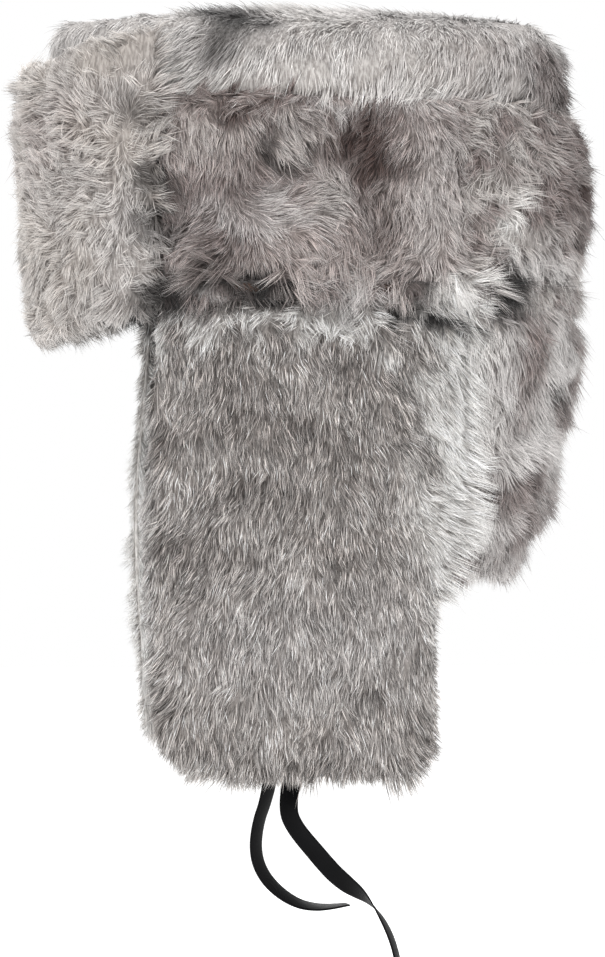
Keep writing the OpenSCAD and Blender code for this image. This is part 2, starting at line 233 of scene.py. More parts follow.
def hairMaterial():
    # darker towards the root, with a pale tip on the ticked hairs
    shade = newShade("rabbitHair", Roughness=0.58, Specular_IOR_Level=0.22, Sheen_Weight=0.12)
    coat = shade.attribute("coat", "Color")
    along = shade.attribute("along", "Fac")
    ticking = shade.attribute("ticking", "Fac")
    shaft = shade.mix(shade.step(along, 0.0, hairLook["rootTo"]), shade.tint(coat, hairLook["root"]), coat)
    ticked = shade.step(along, hairLook["tipFrom"], hairLook["tipTo"]) * ticking
    return shade.finish(Base_Color=shade.mix(ticked, shaft, hairLook["tip"]))


def undercoatMaterial():
    shade = newShade("undercoat", Specular_IOR_Level=0.1, Sheen_Weight=0.2, Sheen_Roughness=0.7)
    fuzz = shade.noise(900.0, detail=4.0, stretch=(1.0, 1.0, 0.3))
    coat = shade.attribute("coat", "Color")
    down = shade.mix(shade.step(fuzz, 0.3, 0.7), shade.tint(coat, hairLook["downDark"]),
                     shade.tint(coat, hairLook["downLight"]))
    return shade.finish(Base_Color=down, Roughness=0.75 + 0.2 * fuzz,
                        Normal=shade.bump(fuzz, strength=0.8, distance=0.002))


def satinMaterial(name, colour, weave, gloss):
    shade = newShade(name, Specular_IOR_Level=gloss, Sheen_Weight=0.05)
    warp = shade.wave(weave, distortion=1.5)
    cloud = shade.noise(55.0, detail=3.0)
    share = shade.step(cloud, 0.35, 0.7) * 0.45 + warp * 0.2
    base = shade.mix(share, rgba(colour), rgba(colour * 2.1))
    return shade.finish(Base_Color=base, Roughness=0.36 + 0.16 * cloud + 0.06 * warp,
                        Normal=shade.bump(warp, strength=0.25, distance=0.0003))


def clothMaterial(name, colour):
    shade = newShade(name, Specular_IOR_Level=0.2, Sheen_Weight=0.2)
    twill = shade.wave(420.0, distortion=0.6)
    cloud = shade.noise(90.0, detail=5.0)
    base = shade.mix(twill * 0.35 + cloud * 0.5, rgba(colour * 0.6), rgba(colour * 1.7))
    return shade.finish(Base_Color=base, Roughness=0.75 + 0.2 * cloud,
                        Normal=shade.bump(twill, strength=0.5, distance=0.0004))


def leatherMaterial(name, colour):
    shade = newShade(name, Specular_IOR_Level=0.4)
    grain = shade.node("ShaderNodeTexVoronoi", None, {"Vector": shade.place(), "Scale": 700.0})
    wear = shade.noise(70.0, detail=4.0)
    base = shade.mix(shade.step(wear, 0.35, 0.75), rgba(colour * 0.65), rgba(colour * 1.6))
    return shade.finish(Base_Color=base, Roughness=0.42 + 0.25 * wear,
                        Normal=shade.bump(grain, strength=0.35, distance=0.0005))


def cordMaterial(name, colour):
    shade = newShade(name, Specular_IOR_Level=0.2)
    twist = shade.wave(260.0, distortion=0.3)
    base = shade.mix(twist, rgba(colour * 0.6), rgba(colour * 1.5))
    return shade.finish(Base_Color=base, Roughness=0.7 + 0.2 * twist,
                        Normal=shade.bump(twist, strength=0.8, distance=0.0008))


materials = {
    "hair": hairMaterial(),
    "undercoat": undercoatMaterial(),
    "lining": satinMaterial("liningSatin", ink("#2a2725"), weave=900.0, gloss=0.4),
    "ribbon": satinMaterial("ribbonSatin", ink("#060607"), weave=1400.0, gloss=0.05),
    "panel": clothMaterial("panelCloth", ink("#4a423e")),
    "leather": leatherMaterial("sweatbandLeather", ink("#4a3a31")),
    "stay": cordMaterial("stayCord", ink("#3a2e28")),
    "thread": cordMaterial("sewingThread", ink("#55504d")),
}
print("materials made:", len(materials))


# meshes
def volumeOf(points, faces):
    total = 0
    for size in {len(face) for face in faces}:
        p = points[np.array([face for face in faces if len(face) == size])]
        for k in range(1, size - 1):
            total += (p[:, 0] * np.cross(p[:, k], p[:, k + 1])).sum()
    return total / 6


def makeObject(name, points, faces, material):
    points = np.asarray(points, float)
    mesh = bpy.data.meshes.new(name)
    mesh.from_pydata((points * mm).tolist(), [], faces)
    if volumeOf(points, faces) < 0:
        mesh.flip_normals()
    mesh.shade_smooth()
    mesh.materials.append(material)
    return addObject(name, mesh)


def gridFaces(rows, cols, wrap, offset=0):
    last = rows if wrap else rows - 1
    return [(offset + i * cols + j, offset + i * cols + j + 1,
             offset + (i + 1) % rows * cols + j + 1, offset + (i + 1) % rows * cols + j)
            for i in range(last) for j in range(cols - 1)]


def makeSlab(name, inner, outer, material, wrap=False, capped=False):
    # a closed sheet between two grids; wrapped round, it is a hoop, and capped it is a bowl
    rows, cols = inner.shape[:2]
    count = rows * cols
    points = [*inner.reshape(-1, 3), *outer.reshape(-1, 3)]
    faces = gridFaces(rows, cols, wrap, count)
    faces += [face[::-1] for face in gridFaces(rows, cols, wrap)]
    last = rows if wrap else rows - 1
    for i in range(last):
        a, b = i * cols, (i + 1) % rows * cols
        faces.append((a, count + a, count + b, b))
        if not capped:
            a, b = a + cols - 1, b + cols - 1
            faces.append((a, b, count + b, count + a))
    if not wrap:
        for j in range(cols - 1):
            c = (rows - 1) * cols + j
            faces.append((j, j + 1, count + j + 1, count + j))
            faces.append((c, count + c, count + c + 1, c + 1))
    if capped:
        for base, sheet, order in ((0, inner, -1), (count, outer, 1)):
            points.append(sheet[:, -1].mean(axis=0))
            middle = len(points) - 1
            rim = [base + i * cols + cols - 1 for i in range(rows)]
            faces += [(a, middle, b)[::order] for a, b in zip(rim, rim[1:] + rim[:1])]
    return makeObject(name, points, faces, material)


def makeLofts(name, lofts, material):
    # closed tubes, each a stack of rings, in one piece
    points, faces = [], []
    for rings in lofts:
        count, sides = rings.shape[:2]
        start = len(points)
        points += list(rings.reshape(-1, 3))
        faces += [(start + r * sides + k, start + r * sides + (k + 1) % sides,
                   start + (r + 1) * sides + (k + 1) % sides, start + (r + 1) * sides + k)
                  for r in range(count - 1) for k in range(sides)]
        faces.append(tuple(start + k for k in reversed(range(sides))))
        faces.append(tuple(start + (count - 1) * sides + k for k in range(sides)))
    return makeObject(name, points, faces, material)


def tubeRings(path, radius, up, sides):
    # radius is one number or one for each point; up is any direction across the path
    ahead = unit(np.gradient(path, axis=0))
    side = unit(np.cross(ahead, up))
    other = np.cross(ahead, side)
    turn = np.linspace(0, 2 * np.pi, sides, endpoint=False)[None, :, None]
    spoke = side[:, None] * np.cos(turn) + other[:, None] * np.sin(turn)
    return path[:, None] + spoke * np.broadcast_to(radius, len(path))[:, None, None]


stitch = {"along": np.array([0, 0.15, 0.5, 0.85, 1]), "bow": np.array([-0.6, 0.5, 0.9, 0.5, -0.6]),
          "thick": np.array([0.5, 1, 1, 1, 0.5]), "sides": 6}


def stitchRings(start, stop, up, radius):
    # one stitch, which bows up between its two holes
    path = lerp(start, stop, stitch["along"][:, None]) + (stitch["bow"] * radius)[:, None] * up
    return tubeRings(path, radius * stitch["thick"], np.cross(stop - start, up), stitch["sides"])


def grid(rows, cols, wrap=False):
    a = np.linspace(0, 1, rows, endpoint=not wrap)
    return np.meshgrid(a, np.linspace(0, 1, cols), indexing="ij")


def setValues(made, name, kind, values):
    attribute = made.data.attributes.new(name, kind, "POINT")
    key = "vector" if kind == "FLOAT_VECTOR" else "value"
    attribute.data.foreach_set(key, np.asarray(values, np.float32).ravel())


# folds: two points for each hanging flap, from crown to flap, which nothing here reads; pieces on these flaps
# get their placing baked into the mesh
folds = {
    "left_ear_flap": ((0.1, 0, 0.002), (0.1, 0, -0.03)),
    "right_ear_flap": ((-0.1, 0, 0.002), (-0.1, 0, -0.03)),
    "neck_flap": ((0, 0.064, -0.01), (0, 0.12, -0.06)),
    "front_flap": ((0, -0.11, -0.02), (0, -0.11, 0.014)),
}


def settle(made, body, slot, *replaced):
    if body in folds:
        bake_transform(made)
    else:
        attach(made, body)
    if replaced:
        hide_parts(*replaced)


# the hat's surfaces, grown outwards by t from the inside of the lining
hat = {"halfLength": 100.0, "halfWidth": 80.0, "power": 2.4, "depth": 103.0, "wallHeight": 76.0,
       "seamHeight": 84.0, "seamGap": 0.005, "topRise": 2.0, "shoulderEnds": 0.12, "shoulderSides": 0.36,
       "frontDip": 10.0, "dipReach": 56.0, "furIn": 7.0, "furDepth": 14.0, "panelOut": 9.2, "gap": 0.3,
       "backSwell": 8.0, "edgeShare": 0.45, "edgeWidth": 25.0, "sideFront": -66.0, "sideRear": 62.0,
       "slice": 1.5}
hat["out"] = hat["furIn"] + hat["furDepth"]
hat["round"] = 2 * (hat["halfWidth"] + hat["out"])
hat["shoulderRise"] = hat["depth"] + hat["out"] - hat["topRise"] - hat["wallHeight"]
hat["seamV"] = 1 + math.asin((hat["seamHeight"] - hat["wallHeight"]) / hat["shoulderRise"]) / math.pi * 2
ear = {"length": 207.0, "wide": hat["sideRear"] - hat["sideFront"], "swell": 6.0, "rearLow": 50.0,
       "rearFrom": 0.36, "rearRun": 0.32, "frontCorner": 22.0, "rearCorner": 15.0, "cornerHeight": 22.0,
       "bowLow": 0.4, "furIn": 5.1, "liningSpan": (0.045, 0.97), "liningFoot": 0.975}
neck = {"length": 120.0, "lean": 14.0, "tuck": 9.0, "tuckFrom": 0.6, "furIn": 5.1,
        "liningSpan": (0.02, 0.98), "liningFoot": 0.982}
front = {"top": 118.0, "topDip": 16.0, "dipReach": 80.0, "furIn": 12.8, "furDepth": 9.5, "flare": 8.5,
         "lobe": 10.0, "chin": 24.0, "brow": 32.0, "roll": 24.0, "liningIn": 9.5, "liningPuff": 0.7,
         "stations": (0.08, 0.27, 0.61, 0.85)}


def signedPow(c, p):
    return np.sign(c) * np.abs(c) ** p


def furShare(d):
    rise = np.sqrt(1 - (1 - np.clip(d / hat["edgeWidth"], 0, 1)) ** 2)
    return hat["edgeShare"] + (1 - hat["edgeShare"]) * rise


def oval(u, t):
    turn = np.radians(u)
    return ((hat["halfWidth"] + t) * signedPow(np.cos(turn), 2 / hat["power"]),
            (hat["halfLength"] + t) * signedPow(np.sin(turn), 2 / hat["power"]))


def angleAt(y, t):
    share = np.clip(y / (hat["halfLength"] + t), -1, 1)
    return np.degrees(np.arcsin(signedPow(share, hat["power"] / 2)))


def fromFront(u):
    return np.abs((u + 90 + 540) % 360 - 180)


def edgeZ(u):
    return -hat["frontDip"] * smooth(1 - fromFront(u) / hat["dipReach"])


def crownAt(u, v, t):
    # v is 0 at the lower edge, 1 at the shoulder, 2 at the rim of the top and 3 in its middle
    x, y = oval(u, t)
    turn = lerp(hat["shoulderEnds"], hat["shoulderSides"], np.cos(np.radians(u)) ** 2)
    top = hat["depth"] + t
    a = np.radians(np.clip(v - 1, 0, 1) * 90)
    s = np.where(v <= 2, 1 - turn * (1 - np.cos(a)), (1 - turn) * (3 - v))
    shoulder = hat["wallHeight"] + (top - hat["topRise"] - hat["wallHeight"]) * np.sin(a)
    z = np.where(v <= 1, lerp(edgeZ(u), hat["wallHeight"], v),
                 np.where(v <= 2, shoulder, top - hat["topRise"] * (3 - v) ** 2))
    return xyz(x * s, y * s, z)


def earCorner(q):
    c = np.clip((q - 1) * ear["length"] / ear["cornerHeight"] + 1, 0, 1)
    return 1 - np.sqrt(1 - c * c)


def earAt(p, q, t):
    corner = earCorner(q)
    first = hat["sideFront"] - ear["swell"] * np.sin(np.pi * q) ** 2 + ear["frontCorner"] * corner
    rear = lerp(hat["sideRear"], ear["rearLow"], smooth((q - ear["rearFrom"]) / ear["rearRun"]))
    y = lerp(first, rear - ear["rearCorner"] * corner, p)
    share = (1 - (np.abs(y) / hat["halfLength"]) ** hat["power"]) ** (1 / hat["power"])
    x = hat["halfWidth"] + t - hat["halfWidth"] * (1 - share) * lerp(1, ear["bowLow"], smooth(q))
    return xyz(x, y, -hat["gap"] - q * ear["length"])


def neckAt(f, q, t):
    grown = t - neck["lean"] * q - neck["tuck"] * smooth((q - neck["tuckFrom"]) / (1 - neck["tuckFrom"]))
    start = angleAt(hat["sideRear"] + hat["slice"], grown)
    x, y = oval(lerp(start, 180 - start, f), grown)
    return xyz(x, y, -hat["gap"] - q * neck["length"])


def frontAngle(f, t):
    start = angleAt(hat["sideFront"] - 2 * hat["slice"], t)
    return lerp(-180 - start, start, f)


def frontAt(f, z, t):
    grown = t + front["flare"] * np.clip(z / front["top"], 0, 1)
    x, y = oval(frontAngle(f, grown), grown)
    return xyz(x, y, z)


def panelAt(f, v, t):
    start = angleAt(hat["sideFront"] - hat["slice"] / 2, t)
    return crownAt(lerp(-180 - start, start, f), v, t)


def mirrored(place):
    return lambda a, b, h: place(a, b, h) * np.array([-1.0, 1, 1])


# the ribbons, along the same points as the solids, from the tack on the lining: x, y, z and twist
ribbon = {"width": 8.0, "thick": 0.6, "gap": 0.3, "cup": 0.5, "sections": 96, "across": 9, "half": 0.4,
          "selvedge": 0.35, "selvedgeWide": 0.2, "slant": 2.0, "slantRows": 5, "tackEdge": 0.55,
          "stitch": 2.0, "thread": 0.22, "inset": 1.2}
ribbonRoutes = {
    "left": [
        (0, 0, 6, 0), (0, 0, 0, 0), (0.5, 0, -6, 2), (1.5, -0.5, -12, 6), (3, -2, -18, 10),
        (4.5, -3, -24, 16), (6, -2.8, -30, 20), (7.2, -0.6, -35, 22), (8, 3, -40, 20),
        (8.6, 7.2, -45, 16), (9, 11.4, -50, 12), (9.2, 16, -55, 14), (9.2, 21.2, -59.5, 26),
        (9, 26.6, -63.5, 50), (8.6, 31.6, -68, 80), (8.2, 36, -73.5, 100),
        (8, 39.6, -80, 108), (8, 42.2, -87, 110), (8, 43.8, -94, 112), (8, 44.6, -101, 114),
        (8, 44.8, -107, 116)],
    "right": [
        (0, 0, 6, 0), (0, 0, 0, 0), (0.6, 0, -7, 8), (2, 0, -15, 18), (3.6, 0, -23, 28),
        (5, -0.6, -31, 36), (6, -2.4, -39, 42), (6.8, -4.6, -46, 44), (7.2, -6, -53, 44),
        (7.4, -6.4, -60, 44), (7.4, -5.2, -67, 44), (7.2, -2, -73.5, 46), (7, 2.8, -79, 50),
        (6.6, 8.6, -83.4, 56), (6.2, 15, -86.4, 64), (5.8, 22, -87.6, 72), (5.4, 29, -87.4, 80),
        (5, 35.6, -86.4, 86)],
}


def spline(knots, count):
    # a smooth curve through the knots
    knots = np.asarray(knots, float)
    padded = np.vstack([2 * knots[0] - knots[1], knots, 2 * knots[-1] - knots[-2]])
    s = np.linspace(0, len(knots) - 1.0001, count)
    k = s.astype(int)
    f = (s - k)[:, None]
    p0, p1, p2, p3 = padded[k], padded[k + 1], padded[k + 2], padded[k + 3]
    return 0.5 * (2 * p1 + (p2 - p0) * f + (2 * p0 - 5 * p1 + 4 * p2 - p3) * f ** 2
                  + (3 * p1 - p0 - 3 * p2 + p3) * f ** 3)


def tackBox(side, sign):
    # the tack's corners, as if it were on the wearer's left
    low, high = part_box(side + "_ribbon_tack")
    inner, outer = (low.x, high.x) if sign > 0 else (-high.x, -low.x)
    return np.array([inner, low.y, low.z]) / mm, np.array([outer, high.y, high.z]) / mm


def makeRibbon(side, sign):
    low, high = tackBox(side, sign)
    start = np.array([low[0] - ribbon["gap"] - ribbon["thick"] / 2, (low[1] + high[1]) / 2, low[2]])
    line = spline(ribbonRoutes[side], ribbon["sections"])
    path = line[:, :3] + start
    ahead = unit(np.gradient(path, axis=0))
    across = unit(np.cross(ahead, [1.0, 0, 0]))
    up = np.cross(ahead, across)
    turn = np.radians(line[:, 3:4])
    wide = across * np.cos(turn) + up * np.sin(turn)
    thick = up * np.cos(turn) - across * np.sin(turn)
    # across its width it is a little cupped, with a thicker selvedge, and the end is cut at a slant
    s = np.linspace(-1, 1, ribbon["across"])
    cup = ribbon["cup"] * (0.5 - s ** 2)
    edge = 1 + ribbon["selvedge"] * smooth(1 - (1 - np.abs(s)) / ribbon["selvedgeWide"])
    row = np.arange(len(path)) - len(path) + 1
    cut = smooth(1 + row / ribbon["slantRows"])[:, None] * s * ribbon["slant"]
    middle = (path[:, None] + wide[:, None] * (s * ribbon["width"] / 2)[None, :, None]
              + thick[:, None] * cup[None, :, None] + ahead[:, None] * cut[:, :, None])
    half = thick[:, None] * (edge * ribbon["thick"] * ribbon["half"])[None, :, None]
    flip = np.array([sign, 1, 1])
    made = makeSlab(side + "_tie_ribbon", (middle - half) * flip, (middle + half) * flip,
                    materials["ribbon"])
    path = path * flip
    length = round(float(steps(path).sum() * mm), 3)
    settle(made, side + "_tie", "ribbon", side + "_ribbon")
    tuple(path[0] * mm)
    (path * mm).tolist()
    print("ribbon", side, length, "m")


def makeTack(side, sign):
    # the ribbon's folded end, sewn to the lining through a boxed cross of stitches
    low, high = tackBox(side, sign)
    flip = np.array([sign, 1, 1])
    a, b = grid(15, 11)
    edge = smooth(np.minimum(fromEnds(a) * 6, fromEnds(b) * 4))
    inner = xyz(high[0] - (high[0] - low[0]) * lerp(ribbon["tackEdge"], 1.0, edge),
                lerp(low[1], high[1], b), lerp(low[2], high[2], a))
    outer = inner.copy()
    outer[..., 0] = high[0]
    made = makeSlab(side + "_tack", inner * flip, outer * flip, materials["ribbon"])
    settle(made, side + "_ear_flap", "ribbon", side + "_ribbon_tack")
    y0, y1 = low[1] + ribbon["inset"], high[1] - ribbon["inset"]
    z0, z1 = low[2] + ribbon["inset"], high[2] - ribbon["inset"]
    runs = [((y0, z0), (y1, z0)), ((y1, z0), (y1, z1)), ((y1, z1), (y0, z1)), ((y0, z1), (y0, z0)),
            ((y0, z0), (y1, z1)), ((y1, z0), (y0, z1))]
    up = np.array([-1.0 * sign, 0, 0])
    lofts = []
    for start, stop in runs:
        start, stop = np.array([low[0], *start]) * flip, np.array([low[0], *stop]) * flip
        count = round(norm(stop - start) / ribbon["stitch"])
        for k in range(count):
            holes = (lerp(start, stop, (k + share) / count) for share in (0.1, 0.9))
            lofts.append(stitchRings(*holes, up, ribbon["thread"]))
    settle(makeLofts(side + "_tack_stitches", lofts, materials["thread"]), side + "_ear_flap", "ribbon")


for side, sign in (("left", 1), ("right", -1)):
    makeRibbon(side, sign)
    makeTack(side, sign)


# quilted satin inside the crown and the flaps, with its wadding; a and b run over each piece
quilt = {"pitch": 24.0, "sunk": 1.3, "puff": 1.4, "border": 7.0, "fill": 0.35, "round": 560.0,
         "bandHeight": 100.0, "tipReach": 80.0, "tipFrom": 1.352, "tipTo": 2.97, "piping": 1.1,
         "pipingAt": 1.6, "binding": 0.9, "bindingInset": 1.0, "bindingDrop": 0.4}


def makeLining(name, body, replaced, place, size, outside, count,
               inside=0.0, wrap=False, capped=False, puff=1.0):
    # place gives a point from a, b and t; size is the piece's width and height
    a, b = grid(*count, wrap)
    s, r = a * size[0], b * size[1]
    if capped:
        flat = place(a, b, 0)
        s, r = flat[..., 0], flat[..., 1]
    cells = np.sin(np.pi * (s + r) / quilt["pitch"]) * np.sin(np.pi * (s - r) / quilt["pitch"])
    edge = np.minimum(b, 1 if capped else 1 - b) * size[1]
    if not wrap:
        edge = np.minimum(edge, fromEnds(a) * size[0])
    swell = np.sqrt(np.abs(cells)) * smooth(edge / quilt["border"])
    inner = place(a, b, inside + puff * (quilt["sunk"] - quilt["puff"] * swell))
    made = makeSlab(name, inner, place(a, b, outside), materials["lining"], wrap, capped)
    settle(made, body, "lining", *replaced)


def makePiping(name, body, place):
    # a satin piping round the two sides and the foot of a flap's lining
    s = np.linspace(0, 1, 60)
    a = np.concatenate([0 * s, s[1:-1], 0 * s + 1])
    b = np.concatenate([s, 0 * s[1:-1] + 1, 1 - s])
    path = place(a, b, quilt["pipingAt"])
    step = np.append(True, steps(path) > 0.4)
    path = path[step]
    normal = unit(place(a, b, quilt["pipingAt"] + 1)[step] - path)
    rings = tubeRings(path, quilt["piping"], normal, 8)
    settle(makeLofts(name, [rings], materials["lining"]), body, "lining")


def earLining(a, b, t):
    return earAt(lerp(*ear["liningSpan"], a), b * ear["liningFoot"], t)


def neckLining(a, b, t):
    return neckAt(lerp(*neck["liningSpan"], a), b * neck["liningFoot"], t)


def frontLining(a, b, t):
    foot = edgeZ(frontAngle(a, t)) + 0.5
    return frontAt(a, lerp(foot, front["top"] - front["topDip"] - front["roll"] / 2, b), t)


def bindingPlace(a, b, t):
    # under the crown's front edge, where the flap's lining turns in
    grown = lerp(quilt["bindingInset"], front["furIn"] - quilt["bindingInset"], b)
    u = frontAngle(a, grown)
    return xyz(*oval(u, grown), edgeZ(u) - quilt["bindingDrop"] - t)


def bandPlace(a, b, t):
    return crownAt(a * 360, b * (quilt["tipFrom"] - 0.01), t)


def tipPlace(a, b, t):
    return crownAt(a * 360, lerp(quilt["tipFrom"], quilt["tipTo"], b), t)


makeLining("crown_quilted_band", "crown", ["crown_lining_band", "crown_wadding"], bandPlace,
           (quilt["round"], quilt["bandHeight"]), hat["furIn"] - hat["gap"], (220, 60), wrap=True)
makeLining("crown_quilted_tip", "crown", ["crown_lining_tip"], tipPlace,
           (quilt["round"], quilt["tipReach"]), hat["furIn"] - hat["gap"], (180, 40), wrap=True, capped=True)
for side, place in (("left", earLining), ("right", mirrored(earLining))):
    makeLining(side + "_ear_quilt", side + "_ear_flap", [side + "_ear_lining", side + "_ear_wadding"], place,
               (ear["wide"], ear["length"]), ear["furIn"] - hat["gap"], (70, 100))
    makePiping(side + "_ear_piping", side + "_ear_flap", place)
makeLining("neck_quilt", "neck_flap", ["neck_lining", "neck_wadding"], neckLining,
           (hat["round"], neck["length"]), neck["furIn"] - hat["gap"], (110, 64))
makePiping("neck_piping", "neck_flap", neckLining)
makeLining("front_quilt", "front_flap", ["front_lining", "front_stiffener"], frontLining,
           (hat["round"], front["top"]), front["furIn"] - 2 * hat["gap"], (110, 60),
           inside=front["liningIn"], puff=front["liningPuff"])
a, b = grid(90, 8)
settle(makeSlab("front_fold_binding", bindingPlace(a, b, 0), bindingPlace(a, b, quilt["binding"]),
                materials["lining"]), "front_flap", "lining")
print("linings made")

# the leather sweatband, with a rolled lower edge and a row of stitches
sweatband = {"height": 34.0, "thick": 1.28, "bead": 0.5, "stitches": 128, "stitchHeight": 5.0, "thread": 0.35}


def makeSweatband():
    a, b = grid(180, 24, True)
    v = b * sweatband["height"] / hat["wallHeight"]
    bead = sweatband["bead"] * (np.exp(-(b / 0.06) ** 2) + 0.6 * np.exp(-((1 - b) / 0.04) ** 2))
    inner = crownAt(a * 360, v, -hat["gap"] - sweatband["thick"] - bead)
    outer = crownAt(a * 360, v, -hat["gap"])
    settle(makeSlab("sweatband_leather", inner, outer, materials["leather"], True),
           "crown", "sweatband_leather", "sweatband")
    u = np.linspace(0, 360, sweatband["stitches"] * 2, endpoint=False)
    v = np.full(len(u), sweatband["stitchHeight"] / hat["wallHeight"])
    spots = crownAt(u, v, -hat["gap"] - sweatband["thick"])
    up = unit(crownAt(u, v, -10.0) - spots)
    lofts = [stitchRings(spots[k], spots[k + 1], up[k], sweatband["thread"])
             for k in range(0, len(u) - 1, 2)]
    settle(makeLofts("sweatband_stitches", lofts, materials["thread"]), "crown", "sweatband_leather")


# the bare panel behind the front flap, a little rippled, with a seam down its middle
panel = {"under": 0.4, "ripple": 0.25, "rippleWave": 40, "rippleSeed": 77, "seam": 0.5, "seamNarrow": 120}


def makePanel():
    a, b = grid(90, 36)
    v = b * (hat["seamV"] - hat["seamGap"])
    ripple = panel["ripple"] * field(xyz(a * 200, b * 90, 0), panel["rippleWave"], panel["rippleSeed"])
    seam = panel["seam"] * np.exp(-((a - 0.5) * panel["seamNarrow"]) ** 2)
    outer = panelAt(a, v, hat["panelOut"] - panel["under"] + ripple * smooth(fromEnds(b) * 5) - seam)
    made = makeSlab("front_panel_cloth", panelAt(a, v, hat["furIn"]), outer, materials["panel"])
    settle(made, "crown", "panel_cloth", "crown_front_panel")


stay = {"sections": 60, "twist": 0.06, "twistRate": 2.4, "ends": 0.6, "endRows": 4, "sides": 12}


def makeStay(name):
    # the cord sewn into a fold, along the middle of its solid
    low, high = (np.array(corner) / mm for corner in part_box(name))
    longest = int(np.argmax(high - low))
    path = np.repeat(((low + high) / 2)[None], stay["sections"], axis=0)
    path[:, longest] = np.linspace(low[longest], high[longest], stay["sections"])
    row = np.arange(stay["sections"])
    ends = lerp(stay["ends"], 1, smooth(np.minimum(row, row[::-1]) / stay["endRows"]))
    twist = 1 - stay["twist"] + stay["twist"] * np.cos(path[:, longest] * stay["twistRate"])
    radius = np.delete(high - low, longest).min() / 2 * twist * ends
    made = makeLofts(name + "_cord", [tubeRings(path, radius, (0, 0, 1.0), stay["sides"])], materials["stay"])
    settle(made, "crown", "stay_cord", name)


makeSweatband()
makePanel()
for name in ("left_fold_stay", "right_fold_stay", "neck_fold_stay", "front_fold_stay"):
    makeStay(name)
print("sweatband, panel and stay cords made")


# each pelt: a runs round the hat, b up or down, and h is the share of the fur's height
topFur = {"end": 2.995, "behindFrom": 66, "behindRun": 20, "fullAt": 1.8}
fold = {"middle": 17.4, "radius": 3.2, "reach": 115.0, "taper": 14, "end": 0.2}


def wallPlace(yFrom, yTo=None):
    run = hat["round"] if yTo is None else yTo - yFrom

    def place(a, b, h):
        depth = hat["furDepth"] * furShare(np.minimum(fromEnds(a) * run, fromEnds(b) * hat["seamHeight"]))
        if yTo is None:
            depth = depth + hat["backSwell"] * np.sin(np.pi * a) * np.sin(np.pi * b)
        t = hat["furIn"] + depth * h
        start = angleAt(yFrom, t)
        stop = 180 - start if yTo is None else angleAt(yTo, t)
        return crownAt(lerp(start, stop, a), b * hat["seamV"], t)
    return place


def topPlace(a, b, h):
    # in front it starts at the bare panel's height, and behind at the full height of the fur
    u, v = a * 360, lerp(hat["seamV"] + hat["seamGap"], topFur["end"], b)
    behind = smooth((fromFront(u) - topFur["behindFrom"]) / topFur["behindRun"])
    over = smooth((v - hat["seamV"]) / (topFur["fullAt"] - hat["seamV"]))
    full = hat["furDepth"] * furShare((v - hat["seamV"]) * hat["shoulderRise"])
    low = hat["panelOut"] - hat["furIn"]
    return crownAt(u, v, hat["furIn"] + lerp(lerp(low, full, over), full, behind) * h)


def earPlace(a, b, h):
    edge = np.minimum(fromEnds(a) * ear["wide"], fromEnds(b) * ear["length"])
    return earAt(a, b, ear["furIn"] + (hat["out"] - ear["furIn"]) * furShare(edge) * h)


def neckPlace(a, b, h):
    edge = np.minimum(fromEnds(a) * hat["round"], fromEnds(b) * neck["length"])
    swell = hat["backSwell"] * np.sin(np.pi * a) * np.sin(2 * np.pi * np.minimum(b, 0.5))
    return neckAt(a, b, neck["furIn"] + ((hat["out"] - neck["furIn"]) * furShare(edge) + swell) * h)


def frontPlace(a, b, h):
    # b goes from behind the fold under it, up the face and over to the back of the top edge
    run = 2 * (hat["halfWidth"] + front["furIn"] + front["furDepth"])
    thick = front["furDepth"] * furShare(fromEnds(a) * run)
    u = frontAngle(a, front["furIn"])
    foot = edgeZ(u)
    head = front["top"] - front["topDip"] * smooth(1 - fromFront(u) / front["dipReach"])
    chinAt, faceAt, browAt, backAt = front["stations"]
    turn = np.where(b < 0.5, np.interp(b, [0, chinAt, faceAt], [190, 270, 360]),
                    np.interp(b, [browAt, backAt, 1], [0, 90, 170]))
    swing = np.radians(turn)
    sine = np.sin(swing)
    lobe, roll = front["lobe"], front["roll"]
    under = foot + lobe * sine * h
    chin = foot - lobe * h + (front["chin"] - lobe * (1 - h)) * (1 + sine)
    face = lerp(foot + front["chin"] - lobe, head - front["brow"], (b - faceAt) / (browAt - faceAt))
    brow = head - roll * (1 - h) - (front["brow"] - roll * (1 - h)) * (1 - sine)
    behind = head - roll * (1 - sine * h)
    z = np.select([b < chinAt, b < faceAt, b < browAt, b < backAt], [under, chin, face, brow], behind)
    return frontAt(a, z, front["furIn"] + thick * (1 + np.cos(swing)) / 2 * h)


def foldPlace(yFrom, yTo=None):
    # the furry outside of a fold, over its stay cord; b goes down round it
    start = angleAt(yFrom, fold["middle"])
    stop = 180 - start if yTo is None else angleAt(yTo, fold["middle"])

    def place(a, b, h):
        u = lerp(start, stop, a)
        spine = crownAt(u, 0 * a, fold["middle"])
        out = unit(crownAt(u, 0 * a, fold["middle"] + 1) - spine)
        swing = np.radians(lerp(fold["reach"], -fold["reach"], b))[..., None]
        grown = (fold["radius"] * h * smooth(fromEnds(a) * fold["taper"] + fold["end"]))[..., None]
        return spine + (out * np.cos(swing) + np.array([0, 0, 1.0]) * np.sin(swing)) * grown
    return place


# how the fur is combed: a direction for each point, before it is laid on the pelt
def combDown(p):
    return xyz(0 * p[:, 0], 0.12, -1)


def combEar(p):
    rear = 0.009 * np.maximum(p[:, 1] - 4, 0)
    ahead = 0.007 * np.minimum(p[:, 1] - 4, 0) * smooth(-p[:, 2] / 110)
    return xyz(0, rear + ahead, -1)


def combTop(p):
    reach = np.hypot(p[:, 0], p[:, 1])
    rim = smooth((reach - 55) / 40)
    aside = 0.45 * smooth((p[:, 1] - 40) / 40)
    return xyz(p[:, 0] / 90 + aside, p[:, 1] / 160 - 0.9 + 0.5 * rim, -0.6 * rim)


def combFront(p):
    # round the flap towards the wearer's right, up above its middle and down below it
    return 0.8 * unit(xyz(p[:, 1], -p[:, 0], 0)) + xyz(0, 0, (p[:, 2] - 42) / 48)


